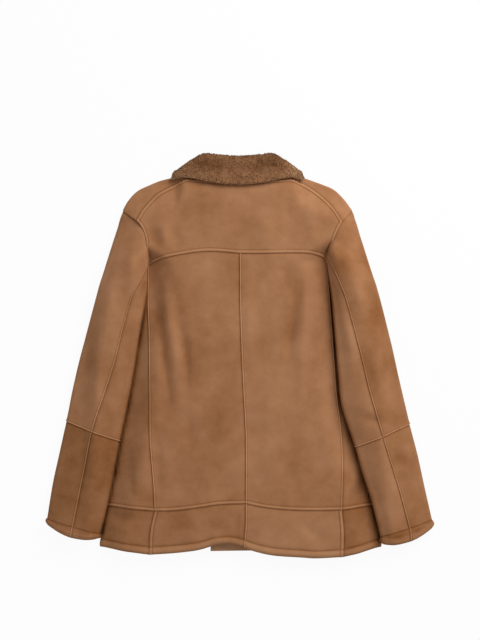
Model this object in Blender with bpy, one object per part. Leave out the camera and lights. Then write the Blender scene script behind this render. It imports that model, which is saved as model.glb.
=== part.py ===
"""A shearling jacket laid flat on its front, with its back uppermost.

+X is the wearer's right, +Y runs from the hem to the collar and +Z points up from the surface that the
jacket lies on. The body is a flat tube: an upper layer (the back), a lower layer (the fronts) and
rounded folds at the sides and shoulders. Each sleeve is a second flat tube that starts at the armhole
and lies partly on the body's side panel. Every piece of hide is a slab: a flat grid is extruded by one
layer, and each of its corners is carried onto the garment by that piece's own place function.
"""

import math

import bmesh
import bpy
from mathutils import Vector

# Hide and seams, in metres.
WALL = 0.005                # hide with its wool, pressed flat
SEAM_GAP = 0.0004           # between two pieces that are sewn together
LAYER_GAP = 0.0006          # between two layers that lie on each other

# The body's section.
RIM_RADIUS = 0.006          # outside radius of the folds at the sides and shoulders
BODY_HEIGHT = 0.034         # top of the back where it is fullest
RAMP = 0.060                # how far inland from a fold the back reaches that height
SHOULDER_SLOPE = 0.85       # from the shoulders it rises this much more slowly

# The sleeves' section.
SLEEVE_RIM = [0.006, 0.009, 0.011, 0.011]      # fold radius at stations 0, 1, 2 and beyond
SLEEVE_CROWN = [0.022, 0.020, 0.017, 0.015]    # how far the top stands above them, likewise
LIFT = 2 * RIM_RADIUS + 0.0012                 # a sleeve's rise where it lies on the body
LIFT_MARGIN = 0.014                            # it stays up this far past the body's edge
LIFT_RUN = 0.035                               # how far it takes to come down from there
BULGE_FADE = 2.0                               # stations over which the armhole's curve dies out
ARMPIT_SEAM = 0.62                             # lower seam, as a share of the sleeve's width
SLEEVE_FULLNESS = 0.9                          # below 1 the sleeve's top is flatter than a sine
FOLD_CLEARANCE = 1.2                           # back seam's distance from the inner fold, in fold radii
CUFF_PROUD = 0.0010                            # the turned cuff stands this far out of the sleeve

# The closure: the left front laps over the right one.
LEFT_FRONT_EDGE = 0.022
RIGHT_FRONT_EDGE = -0.058
BUTTON_RADIUS = 0.0125
BUTTON_HEIGHT = 0.0040
BUTTON_RIM = 0.0010          # its rim is cut off by this much
BUTTON_HEIGHTS_UP = [0.165, 0.045, -0.075, -0.195]
BUTTON_RISE = BUTTON_HEIGHT + SEAM_GAP         # the front's edge is held up by its buttons
LAP_RISE = BUTTON_RISE + WALL + LAYER_GAP
LAP_START = 5                                  # column where each front starts to rise
LAP_FULL = 6                                   # column where it has risen

# The collar.
COLLAR_EDGE = 0.5            # thickness of the collar's edges, as a share of its middle's
COLLAR_ROUND = 0.7           # below 1 the thickness grows faster from the edges
COLLAR_RIGHT = 0.96          # its right half is drawn in towards the middle by this factor

# Plan of each side as (x, y), each line from the shoulder or the upper end downwards, or outwards.
PLAN = {
    "left": {
        "armhole": [(-0.238, 0.293), (-0.209, 0.273), (-0.190, 0.239), (-0.186, 0.180)],
        "shoulder_edge": [(-0.238, 0.293), (-0.226, 0.314), (-0.208, 0.333), (-0.184, 0.345),
                          (-0.159, 0.355), (-0.128, 0.362)],
        "shoulder_seam": [(-0.198, 0.290), (-0.183, 0.309), (-0.161, 0.330),
                          (-0.108, 0.357)],
        "yoke_seam": [(-0.186, 0.180), (-0.166, 0.191), (-0.141, 0.198), (-0.090, 0.207),
                      (-0.049, 0.209), (0.001, 0.205)],
        "side_seam": [(-0.186, 0.180), (-0.187, 0.107), (-0.184, 0.030), (-0.182, -0.090),
                      (-0.181, -0.174), (-0.174, -0.262), (-0.171, -0.316)],
        "armpit": [(-0.186, 0.180), (-0.223, 0.152), (-0.264, 0.128)],
        "side_edge": [(-0.264, 0.128), (-0.265, 0.030), (-0.267, -0.090), (-0.272, -0.200),
                      (-0.277, -0.308)],
        "hem_side_edge": [(-0.277, -0.308), (-0.281, -0.350), (-0.285, -0.392)],
        "hem_seam": [(0.013, -0.301), (-0.039, -0.303), (-0.080, -0.309), (-0.131, -0.315),
                     (-0.171, -0.316)],
        "hem_edge": [(0.009, -0.390), (-0.018, -0.384), (-0.048, -0.386), (-0.080, -0.395),
                     (-0.114, -0.400), (-0.147, -0.403), (-0.182, -0.405)],
        "hem_side_seam": [(-0.171, -0.316), (-0.180, -0.358), (-0.182, -0.405)],
        "front_side_seam": [(-0.225, 0.151), (-0.226, -0.080), (-0.228, -0.310)],
        "front_hem_side_seam": [(-0.228, -0.310), (-0.230, -0.392)],
        "front_hem_edge": [(-0.230, -0.392), (-0.100, -0.390), (LEFT_FRONT_EDGE, -0.384)],
    },
    "right": {
        "armhole": [(0.232, 0.293), (0.210, 0.271), (0.191, 0.232), (0.178, 0.190)],
        "shoulder_edge": [(0.232, 0.293), (0.226, 0.301), (0.214, 0.317), (0.194, 0.336),
                          (0.172, 0.346), (0.128, 0.362)],
        "shoulder_seam": [(0.192, 0.297), (0.169, 0.321), (0.139, 0.343),
                          (0.108, 0.357)],
        "yoke_seam": [(0.178, 0.190), (0.167, 0.199), (0.140, 0.205), (0.104, 0.206),
                      (0.053, 0.205), (0.001, 0.205)],
        "side_seam": [(0.178, 0.190), (0.184, 0.132), (0.192, 0.030), (0.199, -0.072),
                      (0.208, -0.150), (0.211, -0.225), (0.208, -0.314)],
        "armpit": [(0.178, 0.190), (0.218, 0.156), (0.262, 0.130)],
        "side_edge": [(0.262, 0.130), (0.263, 0.030), (0.266, -0.090), (0.273, -0.200),
                      (0.281, -0.307)],
        "hem_side_edge": [(0.281, -0.307), (0.287, -0.350), (0.291, -0.393)],
        "hem_seam": [(0.013, -0.301), (0.053, -0.309), (0.104, -0.314), (0.155, -0.315),
                     (0.208, -0.314)],
        "hem_edge": [(0.009, -0.390), (0.030, -0.398), (0.070, -0.407), (0.124, -0.411),
                     (0.158, -0.413), (0.211, -0.410)],
        "hem_side_seam": [(0.208, -0.314), (0.212, -0.360), (0.211, -0.410)],
        "front_side_seam": [(0.222, 0.154), (0.226, -0.080), (0.230, -0.310)],
        "front_hem_side_seam": [(0.230, -0.310), (0.232, -0.397)],
        "front_hem_edge": [(0.232, -0.397), (0.020, -0.399), (RIGHT_FRONT_EDGE, -0.400)],
    },
}

# Seams and edges that both sides share.
CENTRE_SEAM = [(0.001, 0.205), (0.002, 0.081), (0.007, -0.048), (0.013, -0.174), (0.013, -0.301)]
HEM_CENTRE_SEAM = [(0.013, -0.301), (0.013, -0.340), (0.009, -0.390)]
NECK_SEAM = [(-0.108, 0.357), (-0.060, 0.354), (0.000, 0.352), (0.060, 0.354), (0.108, 0.357)]
FRONT_HEM_SEAM_Y = -0.310
FRONT_NECKLINE = [(0.128, 0.300), (0.103, 0.250), (0.058, 0.214)]     # either side's, mirrored on the left
FRONT_NECK_END_Y = 0.208
SHOULDER_SHARE = 0.28        # where the shoulder seam meets the armhole line, from the shoulder point

# Sleeves, a row for each section from armhole to cuff: outer edge, inner edge, and where the back
# seam crosses, as a share of the width from the outer edge.
SLEEVE = {
    "left": [
        # outer x, outer y, inner x, inner y, seam
        (-0.238, 0.293, -0.186, 0.180, 0.93),
        (-0.252, 0.245, -0.187, 0.130, 0.80),
        (-0.271, 0.185, -0.193, 0.088, 0.71),
        (-0.292, 0.111, -0.202, 0.035, 0.67),
        (-0.315, 0.028, -0.213, -0.035, 0.64),
        (-0.335, -0.052, -0.225, -0.100, 0.58),
        (-0.352, -0.136, -0.241, -0.176, 0.50),
        (-0.367, -0.205, -0.252, -0.236, 0.50),
        (-0.380, -0.265, -0.263, -0.292, 0.50),
        (-0.391, -0.334, -0.280, -0.362, 0.50),
        (-0.392, -0.345, -0.286, -0.373, 0.50),
    ],
    "right": [
        (0.232, 0.293, 0.178, 0.190, 0.93),
        (0.248, 0.240, 0.186, 0.132, 0.78),
        (0.268, 0.175, 0.190, 0.086, 0.69),
        (0.288, 0.108, 0.195, 0.030, 0.63),
        (0.309, 0.028, 0.201, -0.040, 0.57),
        (0.327, -0.052, 0.208, -0.104, 0.53),
        (0.348, -0.142, 0.235, -0.188, 0.52),
        (0.364, -0.205, 0.250, -0.240, 0.50),
        (0.378, -0.268, 0.268, -0.296, 0.48),
        (0.393, -0.336, 0.286, -0.368, 0.46),
        (0.395, -0.352, 0.290, -0.384, 0.46),
    ],
}
ELBOW = 6
CUFF_TURN = 9
CUFF_END = 10
CUFF_BOW = 0.011             # the sleeve's end is bowed out this far at its middle

HEM_EDGE_Y = -0.400          # the hem's edge, roughly
HEM_DIP = 0.060              # as if the hem's fold lay this far below its edge
SHOULDER_INSIDE_NECK = [(0.0, 0.402), (0.112, 0.392)]   # the shoulder fold's line inside the collar
PAST_SHOULDER = (0.300, 0.150)                          # and where it runs to over the sleeve
DIP_ABOVE_ARMPIT = [(0.016, 0.012), (0.080, 0.120)]     # up from the armhole's end, and further out

# The collar from the front end to the middle of the back, for either side:
# fold edge x, y, z, free edge x, y, z, the turn of its outer face from up, in degrees, and thickness.
COLLAR = [
    (0.006, 0.276, 0.0045, 0.006, 0.220, 0.0045, 180, 0.009),
    (0.048, 0.288, 0.0045, 0.054, 0.231, 0.0045, 180, 0.009),
    (0.084, 0.318, 0.0045, 0.094, 0.272, 0.0045, 180, 0.009),
    (0.101, 0.352, 0.0048, 0.108, 0.334, 0.0048, 174, 0.009),
    (0.114, 0.376, 0.0082, 0.127, 0.373, 0.0082, 140, 0.010),
    (0.116, 0.380, 0.0170, 0.135, 0.359, 0.0190, 90, 0.011),
    (0.107, 0.386, 0.0260, 0.130, 0.356, 0.0217, 50, 0.012),
    (0.093, 0.396, 0.0270, 0.107, 0.359, 0.0285, 15, 0.012),
    (0.070, 0.408, 0.0240, 0.070, 0.352, 0.0350, 0, 0.012),
    (0.034, 0.405, 0.0230, 0.034, 0.346, 0.0375, 0, 0.012),
    (0.000, 0.403, 0.0230, 0.000, 0.344, 0.0380, 0, 0.012),
]

# Colours, as linear values.
TAN_SUEDE = (0.34, 0.16, 0.073, 1.0)
BROWN_WOOL = (0.20, 0.10, 0.045, 1.0)
HORN = (0.06, 0.03, 0.015, 1.0)


# ---------------------------------------------------------------- lines and patches

def ease(share):
    """0 to 1 with a soft start and end."""
    share = min(max(share, 0.0), 1.0)
    return share * share * (3 - 2 * share)


def mix(a, b, share):
    return a + (b - a) * share


def curve_through(a, b, c, d, k):
    """The smooth curve from b to c that a and d steer."""
    bend = (c - a) * k + (2 * a - 5 * b + 4 * c - d) * k ** 2 + (3 * b - a - 3 * c + d) * k ** 3
    return b + bend / 2


def line(points):
    """A smooth line through the points, read by its share of length from 0 to 1."""
    marks = [Vector(point) for point in points]
    runs = [0.0]
    for before, after in zip(marks, marks[1:]):
        runs.append(runs[-1] + (after - before).length)

    def at(share):
        run = min(max(share, 0.0), 1.0) * runs[-1]
        i = 0
        while i < len(marks) - 2 and runs[i + 1] < run:
            i += 1
        k = (run - runs[i]) / (runs[i + 1] - runs[i])
        b, c = marks[i], marks[i + 1]
        before = marks[i - 1] if i > 0 else 2 * b - c
        after = marks[i + 2] if i + 2 < len(marks) else 2 * c - b
        return curve_through(before, b, c, after, k)
    return at


def back_along(curve):
    return lambda share: curve(1 - share)


def part_of(curve, start, end):
    return lambda share: curve(mix(start, end, share))


def chain(stops, *curves):
    """Several lines end to end; stops gives the shares where one hands over to the next."""
    def at(share):
        for first, last, curve in zip(stops, stops[1:], curves):
            if share <= last:
                return curve((share - first) / (last - first))
        return curves[-1](1.0)
    return at


def patch(south, north, west, east):
    """The sheet that four edge lines bound, read by (u, v) from its south-west corner."""
    def at(u, v):
        edges = south(u) * (1 - v) + north(u) * v + west(v) * (1 - u) + east(v) * u
        corners = (south(0) * (1 - u) + south(1) * u) * (1 - v) + (north(0) * (1 - u) + north(1) * u) * v
        return edges - corners
    return at


def stations(rows, at):
    """One smooth reading of a table's columns at a fractional row."""
    last = len(rows) - 1
    i = min(int(at), last - 1)
    k = at - i
    values = []
    for column, (b, c) in enumerate(zip(rows[i], rows[i + 1])):
        before = rows[i - 1][column] if i > 0 else 2 * b - c
        after = rows[i + 2][column] if i + 2 <= last else 2 * c - b
        values.append(curve_through(before, b, c, after, k))
    return values


def table(rows, at):
    """The second column where the first one is at, joined by straight lines."""
    for (low, below), (high, above) in zip(rows, rows[1:]):
        if at <= high:
            return mix(below, above, min(max((at - low) / (high - low), 0.0), 1.0))
    return rows[-1][1]


LINES = {side: {name: line(points) for name, points in plan.items()} for side, plan in PLAN.items()}
for lines_of_side, plan_of_side in zip(LINES.values(), PLAN.values()):
    seam_start = tuple(lines_of_side["armhole"](SHOULDER_SHARE))
    lines_of_side["shoulder_seam"] = line([seam_start] + plan_of_side["shoulder_seam"])
SIGN = {"left": -1, "right": 1}


# ---------------------------------------------------------------- the garment's form

def ring(width, radius, girth, depth):
    """A flat tube's wall: distance in from its edge, and height, at a girth from that edge.

    Girth counts up over the top from the edge's outermost line, and down under it as a negative.
    """
    quarter = math.pi / 2 * radius
    up = 1 if girth >= 0 else -1
    reach = abs(girth)
    inner = radius - depth
    if reach < quarter:
        turn = reach / radius
        return radius - inner * math.cos(turn), radius + up * inner * math.sin(turn)
    reach -= quarter
    flat = width - 2 * radius
    if reach <= flat:
        return radius + reach, radius + up * inner
    turn = min((reach - flat) / radius, math.pi / 2)
    return width - radius + inner * math.sin(turn), radius + up * inner * math.cos(turn)


def shoulder_y(x):
    """Height up the page of the shoulder fold, which the neck carries on inside the collar."""
    side = "left" if x < 0 else "right"
    edge = PLAN[side]["shoulder_edge"]
    rows = [(abs(px), py) for px, py in reversed(edge)]
    return table(SHOULDER_INSIDE_NECK + rows + [PAST_SHOULDER], abs(x))


def dip_x(x, y):
    """Distance from the middle of the line where a sleeve meets the back, which the back dips to."""
    side = "left" if x < 0 else "right"
    rows = [(row[3], abs(row[2])) for row in reversed(SLEEVE[side])]
    top_y, top_x = rows[-1]
    rows += [(top_y + up, top_x + out) for up, out in DIP_ABOVE_ARMPIT]
    return table(rows, y)


def crown(x, y):
    """How far the back stands above the height of its folds."""
    hem = HEM_EDGE_Y - HEM_DIP
    inland = min(dip_x(x, y) - abs(x), (shoulder_y(x) - y) * SHOULDER_SLOPE, y - hem)
    return (BODY_HEIGHT - 2 * RIM_RADIUS) * ease(inland / RAMP)


def back_point(plan, depth):
    x, y = plan
    return Vector((x, y, 2 * RIM_RADIUS + crown(x, y) - depth))


def folded_point(edge, inward, girth, depth):
    """A point of a piece that goes round a fold of the body, at a girth from the fold's edge."""
    across, height = ring(1.0, RIM_RADIUS, girth, depth)
    x, y = edge + inward * across
    return Vector((x, y, height + crown(x, y) * ease(height / (2 * RIM_RADIUS) if girth > 0 else 0.0)))


def lift(side, x, y):
    """How far a sleeve is raised at a place by the side panel below it."""
    corner, tip = LINES[side]["armpit"](0), LINES[side]["armpit"](1)
    slope = (tip - corner).normalized()
    above = Vector((-slope.y, slope.x)) * SIGN[side]
    past_armpit = (Vector((x, y)) - corner).dot(above)
    edge_rows = PLAN[side]["hem_side_edge"][::-1][:-1] + PLAN[side]["side_edge"][::-1]
    past_side = abs(x) - table([(py, abs(px)) for px, py in edge_rows], y)
    outside = max(past_armpit, past_side)
    return LIFT * (1 - ease((outside - LIFT_MARGIN) / LIFT_RUN))


def sleeve_size(side, station):
    """Outer edge, inner edge, seam share, fold radius and crown at a station."""
    outer_x, outer_y, inner_x, inner_y, seam = stations(SLEEVE[side], station)
    i = min(int(station), len(SLEEVE_RIM) - 2)
    share = min(station - i, 1.0)
    radius = mix(SLEEVE_RIM[i], SLEEVE_RIM[i + 1], share)
    top = mix(SLEEVE_CROWN[i], SLEEVE_CROWN[i + 1], share)
    return Vector((outer_x, outer_y)), Vector((inner_x, inner_y)), seam, radius, top


def sleeve_point(side, station, girth, depth, proud=0.0):
    outer, inner, seam, radius, top = sleeve_size(side, station)
    width = (inner - outer).length
    across, height = ring(width, radius, girth, depth - proud)
    share = across / width
    start, end = LINES[side]["armhole"](0), LINES[side]["armhole"](1)
    bulge = LINES[side]["armhole"](share) - start.lerp(end, share)
    plan = outer.lerp(inner, share) + bulge * (1 - ease(station / BULGE_FADE))
    plan.y -= CUFF_BOW * 4 * share * (1 - share) * max(station - CUFF_TURN, 0.0)
    if girth > 0:
        inset = min(max((across - radius) / (width - 2 * radius), 0.0), 1.0)
        height += top * math.sin(math.pi * inset) ** SLEEVE_FULLNESS if 0 < inset < 1 else 0.0
    height = max(height, 0.0)
    return Vector((plan.x, plan.y, height + lift(side, plan.x, plan.y)))


def seam_girth(side, station):
    """Girth of the back seam, of the inner edge and of the lower seam, from the outer edge."""
    outer, inner, seam, radius, top = sleeve_size(side, station)
    width = (inner - outer).length
    quarter = math.pi / 2 * radius
    back = quarter + min(seam * width, width - FOLD_CLEARANCE * radius) - radius
    under = quarter + ARMPIT_SEAM * width - radius
    whole = 2 * (2 * quarter + width - 2 * radius)
    return back, under, whole


# ---------------------------------------------------------------- building

def material(name, colour, roughness):
    made = bpy.data.materials.new(name)
    made.use_nodes = True
    shader = made.node_tree.nodes["Principled BSDF"]
    shader.inputs["Base Color"].default_value = colour
    shader.inputs["Roughness"].default_value = roughness
    shader.inputs["Metallic"].default_value = 0.0
    return made


def finish(name, mesh_data, colour, roughness):
    mesh = bpy.data.meshes.new(name)
    mesh_data.to_mesh(mesh)
    mesh_data.free()
    mesh.materials.append(material(name, colour, roughness))
    piece = bpy.data.objects.new(name, mesh)
    bpy.context.scene.collection.objects.link(piece)
    return piece


def slab(name, blocks, place, colour=TAN_SUEDE, roughness=0.9, gap=SEAM_GAP):
    """A piece of hide. Each block is (first column, last column, first row, last row) of its grid.

    place(column, row, layer) gives a corner of the grid, with layer 0 outside and 1 inside. Corners
    on the grid's border are drawn in by half a seam's gap.
    """
    made = bmesh.new()
    for first_column, last_column, first_row, last_row in blocks:
        columns, rows = last_column - first_column, last_row - first_row
        grid = bmesh.ops.create_grid(made, x_segments=columns, y_segments=rows, size=0.5)
        bmesh.ops.scale(made, vec=(columns, rows, 1), verts=grid["verts"])
        middle = ((first_column + last_column) / 2, (first_row + last_row) / 2, 0)
        bmesh.ops.translate(made, vec=middle, verts=grid["verts"])
    bmesh.ops.remove_doubles(made, verts=made.verts, dist=0.01)
    for corner in made.verts:
        corner.co = [round(value) for value in corner.co]
    inward = {}
    for corner in made.verts:
        if corner.is_boundary:
            pull = []
            for edge in corner.link_edges:
                if not edge.is_boundary:
                    pull.append(edge.other_vert(corner).co.copy())
            if not pull:
                pull = [edge.other_vert(corner).co.copy() for edge in corner.link_edges]
            inward[tuple(corner.co.xy)] = pull
    raised = bmesh.ops.extrude_face_region(made, geom=made.faces[:], use_keep_orig=True)
    for corner in raised["geom"]:
        if isinstance(corner, bmesh.types.BMVert):
            corner.co.z = 1
    bmesh.ops.recalc_face_normals(made, faces=made.faces)
    for corner in made.verts:
        column, row, layer = corner.co
        point = place(column, row, layer)
        moved = point.copy()
        for neighbour in inward.get((column, row), []):
            moved += (place(neighbour.x, neighbour.y, layer) - point).normalized() * gap / 2
        corner.co = moved
    if made.calc_volume(signed=True) < 0:
        bmesh.ops.reverse_faces(made, faces=made.faces)
    return finish(name, made, colour, roughness)


# ---------------------------------------------------------------- the back

SHOULDER_COLUMNS = 5
NECK_COLUMNS = 6
YOKE_COLUMNS = 2 * SHOULDER_COLUMNS + NECK_COLUMNS
YOKE_ROWS = 6
BACK_COLUMNS = 8
BACK_ROWS = 10
HEM_ROWS = 2


def make_back_yoke():
    first, last = SHOULDER_COLUMNS / YOKE_COLUMNS, 1 - SHOULDER_COLUMNS / YOKE_COLUMNS
    north = chain([0, first, last, 1], LINES["left"]["shoulder_seam"], line(NECK_SEAM),
                  back_along(LINES["right"]["shoulder_seam"]))
    south = chain([0, 0.5, 1], LINES["left"]["yoke_seam"], back_along(LINES["right"]["yoke_seam"]))
    west = back_along(part_of(LINES["left"]["armhole"], SHOULDER_SHARE, 1))
    east = back_along(part_of(LINES["right"]["armhole"], SHOULDER_SHARE, 1))
    plan = patch(south, north, west, east)

    def place(column, row, layer):
        return back_point(plan(column / YOKE_COLUMNS, row / YOKE_ROWS), layer * WALL)
    slab("back_yoke", [(0, YOKE_COLUMNS, 0, YOKE_ROWS)], place)


def make_back(side):
    lines = LINES[side]
    plan = patch(back_along(lines["hem_seam"]), lines["yoke_seam"],
                 back_along(lines["side_seam"]), back_along(line(CENTRE_SEAM)))

    def place(column, row, layer):
        return back_point(plan(column / BACK_COLUMNS, row / BACK_ROWS), layer * WALL)
    slab("back_" + side, [(0, BACK_COLUMNS, 0, BACK_ROWS)], place)


def make_hem_back(side):
    lines = LINES[side]
    plan = patch(back_along(lines["hem_edge"]), back_along(lines["hem_seam"]),
                 back_along(lines["hem_side_seam"]), back_along(line(HEM_CENTRE_SEAM)))

    def place(column, row, layer):
        return back_point(plan(column / BACK_COLUMNS, row / HEM_ROWS), layer * WALL)
    slab("hem_back_" + side, [(0, BACK_COLUMNS, 0, HEM_ROWS)], place)


# ---------------------------------------------------------------- the sides

SIDE_TOP_COLUMNS = 4
FOLD_STEPS = 4
SIDE_LOWER_COLUMNS = 2
SIDE_COLUMNS = SIDE_TOP_COLUMNS + FOLD_STEPS + SIDE_LOWER_COLUMNS


def side_place(side, seam, edge, lower_seam, rows):
    """Places a side piece: over the top from its back seam, round the fold and under to the front."""
    inward = Vector((-SIGN[side], 0.0))
    quarter = math.pi / 2 * RIM_RADIUS

    def place(column, row, layer):
        share = 1 - row / rows
        rim = edge(share)
        turn_in = rim + inward * RIM_RADIUS
        depth = layer * WALL
        if column < SIDE_TOP_COLUMNS:
            return back_point(seam(share).lerp(turn_in, column / SIDE_TOP_COLUMNS), depth)
        step = column - SIDE_TOP_COLUMNS
        if step <= FOLD_STEPS:
            return folded_point(rim, inward, quarter * (1 - 2 * step / FOLD_STEPS), depth)
        x, y = turn_in.lerp(lower_seam(share), (step - FOLD_STEPS) / SIDE_LOWER_COLUMNS)
        return Vector((x, y, depth))
    return place


def make_side(side):
    lines = LINES[side]
    place = side_place(side, lines["side_seam"], lines["side_edge"], lines["front_side_seam"], BACK_ROWS)
    slab("side_" + side, [(0, SIDE_COLUMNS, 0, BACK_ROWS)], place)


def make_hem_side(side):
    lines = LINES[side]
    place = side_place(side, lines["hem_side_seam"], lines["hem_side_edge"],
                       lines["front_hem_side_seam"], HEM_ROWS)
    slab("hem_side_" + side, [(0, SIDE_COLUMNS, 0, HEM_ROWS)], place)


# ---------------------------------------------------------------- the fronts

FRONT_COLUMNS = 8
UNDER_COLUMNS = 4            # of the topsleeve's grid on the lower layer
SIDE_SEAM_ROWS = 8
ARMHOLE_ROWS = UNDER_COLUMNS + 3               # one to each of the sleeve's columns there
FRONT_ROWS = SIDE_SEAM_ROWS + 1 + ARMHOLE_ROWS
STRIP_ROWS = 2
UNDERARM_MIDDLE = 0.25       # where along the armpit's line the front's edge turns up
FRONT_EDGE = {"left": LEFT_FRONT_EDGE, "right": RIGHT_FRONT_EDGE}
FRONT_RISE = {"left": BUTTON_RISE, "right": LAP_RISE}


def front_height(side, column):
    """A front's rise over what lies below it, by the column of its grid."""
    share = (column - LAP_START) / (LAP_FULL - LAP_START)
    return FRONT_RISE[side] * min(max(share, 0.0), 1.0)


def shoulder_fold(side, column):
    """Edge of the shoulder fold, the way in from it, and the distance to the shoulder seam."""
    share = column / SHOULDER_COLUMNS
    edge = LINES[side]["shoulder_edge"](share)
    seam = LINES[side]["shoulder_seam"](share)
    return edge, (seam - edge).normalized(), (seam - edge).length


def column_share(column):
    """Columns are closer together where a front laps over the other."""
    return table([(0, 0.0), (LAP_START, 0.60), (LAP_FULL, 0.70), (FRONT_COLUMNS, 1.0)], column)


def sleeve_shares(side):
    """Shares of the armhole line at the sleeve's lower columns, from its inner to its outer end."""
    outer, inner, seam, radius, top = sleeve_size(side, 0)
    fold = radius / (inner - outer).length
    below_top = [mix(fold, ARMPIT_SEAM, i / UNDER_COLUMNS) for i in range(UNDER_COLUMNS + 1)]
    return [1.0, 1 - fold, (1 - fold + ARMPIT_SEAM) / 2] + below_top[::-1]


def make_front(side):
    lines = LINES[side]
    edge_x = FRONT_EDGE[side]
    sign = SIGN[side]

    def fold_start(share):
        edge, inward, reach = shoulder_fold(side, share * SHOULDER_COLUMNS)
        return edge + inward * RIM_RADIUS
    neckline = line([fold_start(1)] + [(sign * x, y) for x, y in FRONT_NECKLINE]
                    + [(edge_x, FRONT_NECK_END_Y)])
    shares = sleeve_shares(side)
    marks = [(i / (len(shares) - 1), share) for i, share in enumerate(shares)]

    def front_armhole(share):
        return lines["armhole"](table(marks, share))
    seam_top = lines["front_side_seam"](0)
    underarm = line([seam_top, lines["armpit"](UNDERARM_MIDDLE), lines["armpit"](0)])
    west = chain([0, SIDE_SEAM_ROWS / FRONT_ROWS, (SIDE_SEAM_ROWS + 1) / FRONT_ROWS, 1],
                 back_along(lines["front_side_seam"]), underarm, front_armhole)
    corner = line([lines["front_side_seam"](1), (edge_x, FRONT_HEM_SEAM_Y)])
    centre = line([(edge_x, FRONT_HEM_SEAM_Y), neckline(1)])
    north = chain([0, column_share(SHOULDER_COLUMNS), 1], fold_start, neckline)
    plan = patch(corner, north, west, centre)
    quarter = math.pi / 2 * RIM_RADIUS

    def place(column, row, layer):
        depth = layer * WALL
        if row <= FRONT_ROWS:
            x, y = plan(column_share(column), row / FRONT_ROWS)
            return Vector((x, y, front_height(side, column) + depth))
        edge, inward, reach = shoulder_fold(side, column)
        step = row - FRONT_ROWS
        if step <= FOLD_STEPS:
            return folded_point(edge, inward, quarter * (2 * step / FOLD_STEPS - 1), depth)
        share = (step - FOLD_STEPS) / STRIP_ROWS
        return back_point(edge + inward * mix(RIM_RADIUS, reach, share), depth)
    blocks = [(0, FRONT_COLUMNS, 0, FRONT_ROWS),
              (0, SHOULDER_COLUMNS, FRONT_ROWS, FRONT_ROWS + FOLD_STEPS + STRIP_ROWS)]
    slab("front_" + side, blocks, place)


def make_hem_front(side):
    edge_x = FRONT_EDGE[side]
    seam, edge = LINES[side]["front_hem_side_seam"], LINES[side]["front_hem_edge"]
    top = line([seam(0), (edge_x, FRONT_HEM_SEAM_Y)])
    plan = patch(edge, top, back_along(seam), line([edge(1), top(1)]))

    def place(column, row, layer):
        x, y = plan(column_share(column), row / HEM_ROWS)
        return Vector((x, y, front_height(side, column) + layer * WALL))
    slab("hem_front_" + side, [(0, FRONT_COLUMNS, 0, HEM_ROWS)], place)


def make_button(number, y):
    """A turned button with a rounded rim, between the surface below and the left front."""
    made = bmesh.new()
    bmesh.ops.create_cone(made, cap_ends=True, segments=20, radius1=BUTTON_RADIUS,
                          radius2=BUTTON_RADIUS, depth=BUTTON_HEIGHT)
    rim = [edge for edge in made.edges if abs(edge.verts[0].co.z - edge.verts[1].co.z) < 0.0001]
    bmesh.ops.bevel(made, geom=rim, offset=BUTTON_RIM, offset_type="OFFSET", segments=1, profile=0.5,
                    affect="EDGES", material=-1)
    middle = (LEFT_FRONT_EDGE + RIGHT_FRONT_EDGE) / 2
    bmesh.ops.translate(made, vec=(middle, y, BUTTON_HEIGHT / 2), verts=made.verts)
    finish("button_" + str(number), made, HORN, 0.35)


# ---------------------------------------------------------------- the sleeves

TOP_COLUMNS = 5
OUTER_COLUMNS = 4
SLEEVE_ROWS = 2              # rows of the grid to one station
ARMHOLE_START = 0.020        # the sleeves' first row, just clear of the armhole seam


def girth_stops(side, station, which):
    """Girths of the grid's columns across the topsleeve or the undersleeve at a station."""
    outer, inner, seam, radius, top = sleeve_size(side, station)
    back, under, whole = seam_girth(side, station)
    quarter = math.pi / 2 * radius
    if which == "topsleeve":
        over = [mix(back, quarter, i / TOP_COLUMNS) for i in range(TOP_COLUMNS)]
        round_fold = [quarter * (1 - 2 * i / OUTER_COLUMNS) for i in range(OUTER_COLUMNS)]
        below = [-mix(quarter, under, i / UNDER_COLUMNS) for i in range(UNDER_COLUMNS + 1)]
        return over + round_fold + below
    inner_fold = whole / 2 - quarter
    over = [mix(back, inner_fold, i / 2) for i in range(2)]
    round_fold = [inner_fold + 2 * quarter * i / OUTER_COLUMNS for i in range(OUTER_COLUMNS)]
    below = [mix(inner_fold + 2 * quarter, whole - under, i / 2) for i in range(3)]
    return over + round_fold + below


def on_ring(side, station, girth, depth, proud=0.0):
    """A sleeve's point for a girth that may run on past the inner edge to the lower layer."""
    whole = seam_girth(side, station)[2]
    if girth > whole / 2:
        girth -= whole
    return sleeve_point(side, station, girth, depth, proud)


def make_sleeve_piece(side, which, name, first, last):
    columns = len(girth_stops(side, 0, which)) - 1
    rows = (last - first) * SLEEVE_ROWS

    def place(column, row, layer):
        station = max(mix(last, first, row / rows), ARMHOLE_START)
        girth = girth_stops(side, station, which)[int(column)]
        return on_ring(side, station, girth, layer * WALL)
    slab(which + "_" + name + "_" + side, [(0, columns, 0, rows)], place)


def make_cuff(side):
    """The turned cuff: one band round the sleeve's end, whose two ends meet at the back seam."""
    under_columns = len(girth_stops(side, CUFF_TURN, "undersleeve"))
    columns = under_columns + len(girth_stops(side, CUFF_TURN, "topsleeve")) - 2

    def place(column, row, layer):
        station = mix(CUFF_END, CUFF_TURN, row)
        top = girth_stops(side, station, "topsleeve")
        under = girth_stops(side, station, "undersleeve")
        column = int(column)
        girth = under[column] if column < len(under) else top[::-1][column - len(under) + 1]
        return on_ring(side, station, girth, layer * (WALL + CUFF_PROUD), CUFF_PROUD)
    slab("cuff_" + side, [(0, columns, 0, 1)], place)


# ---------------------------------------------------------------- the collar

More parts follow.
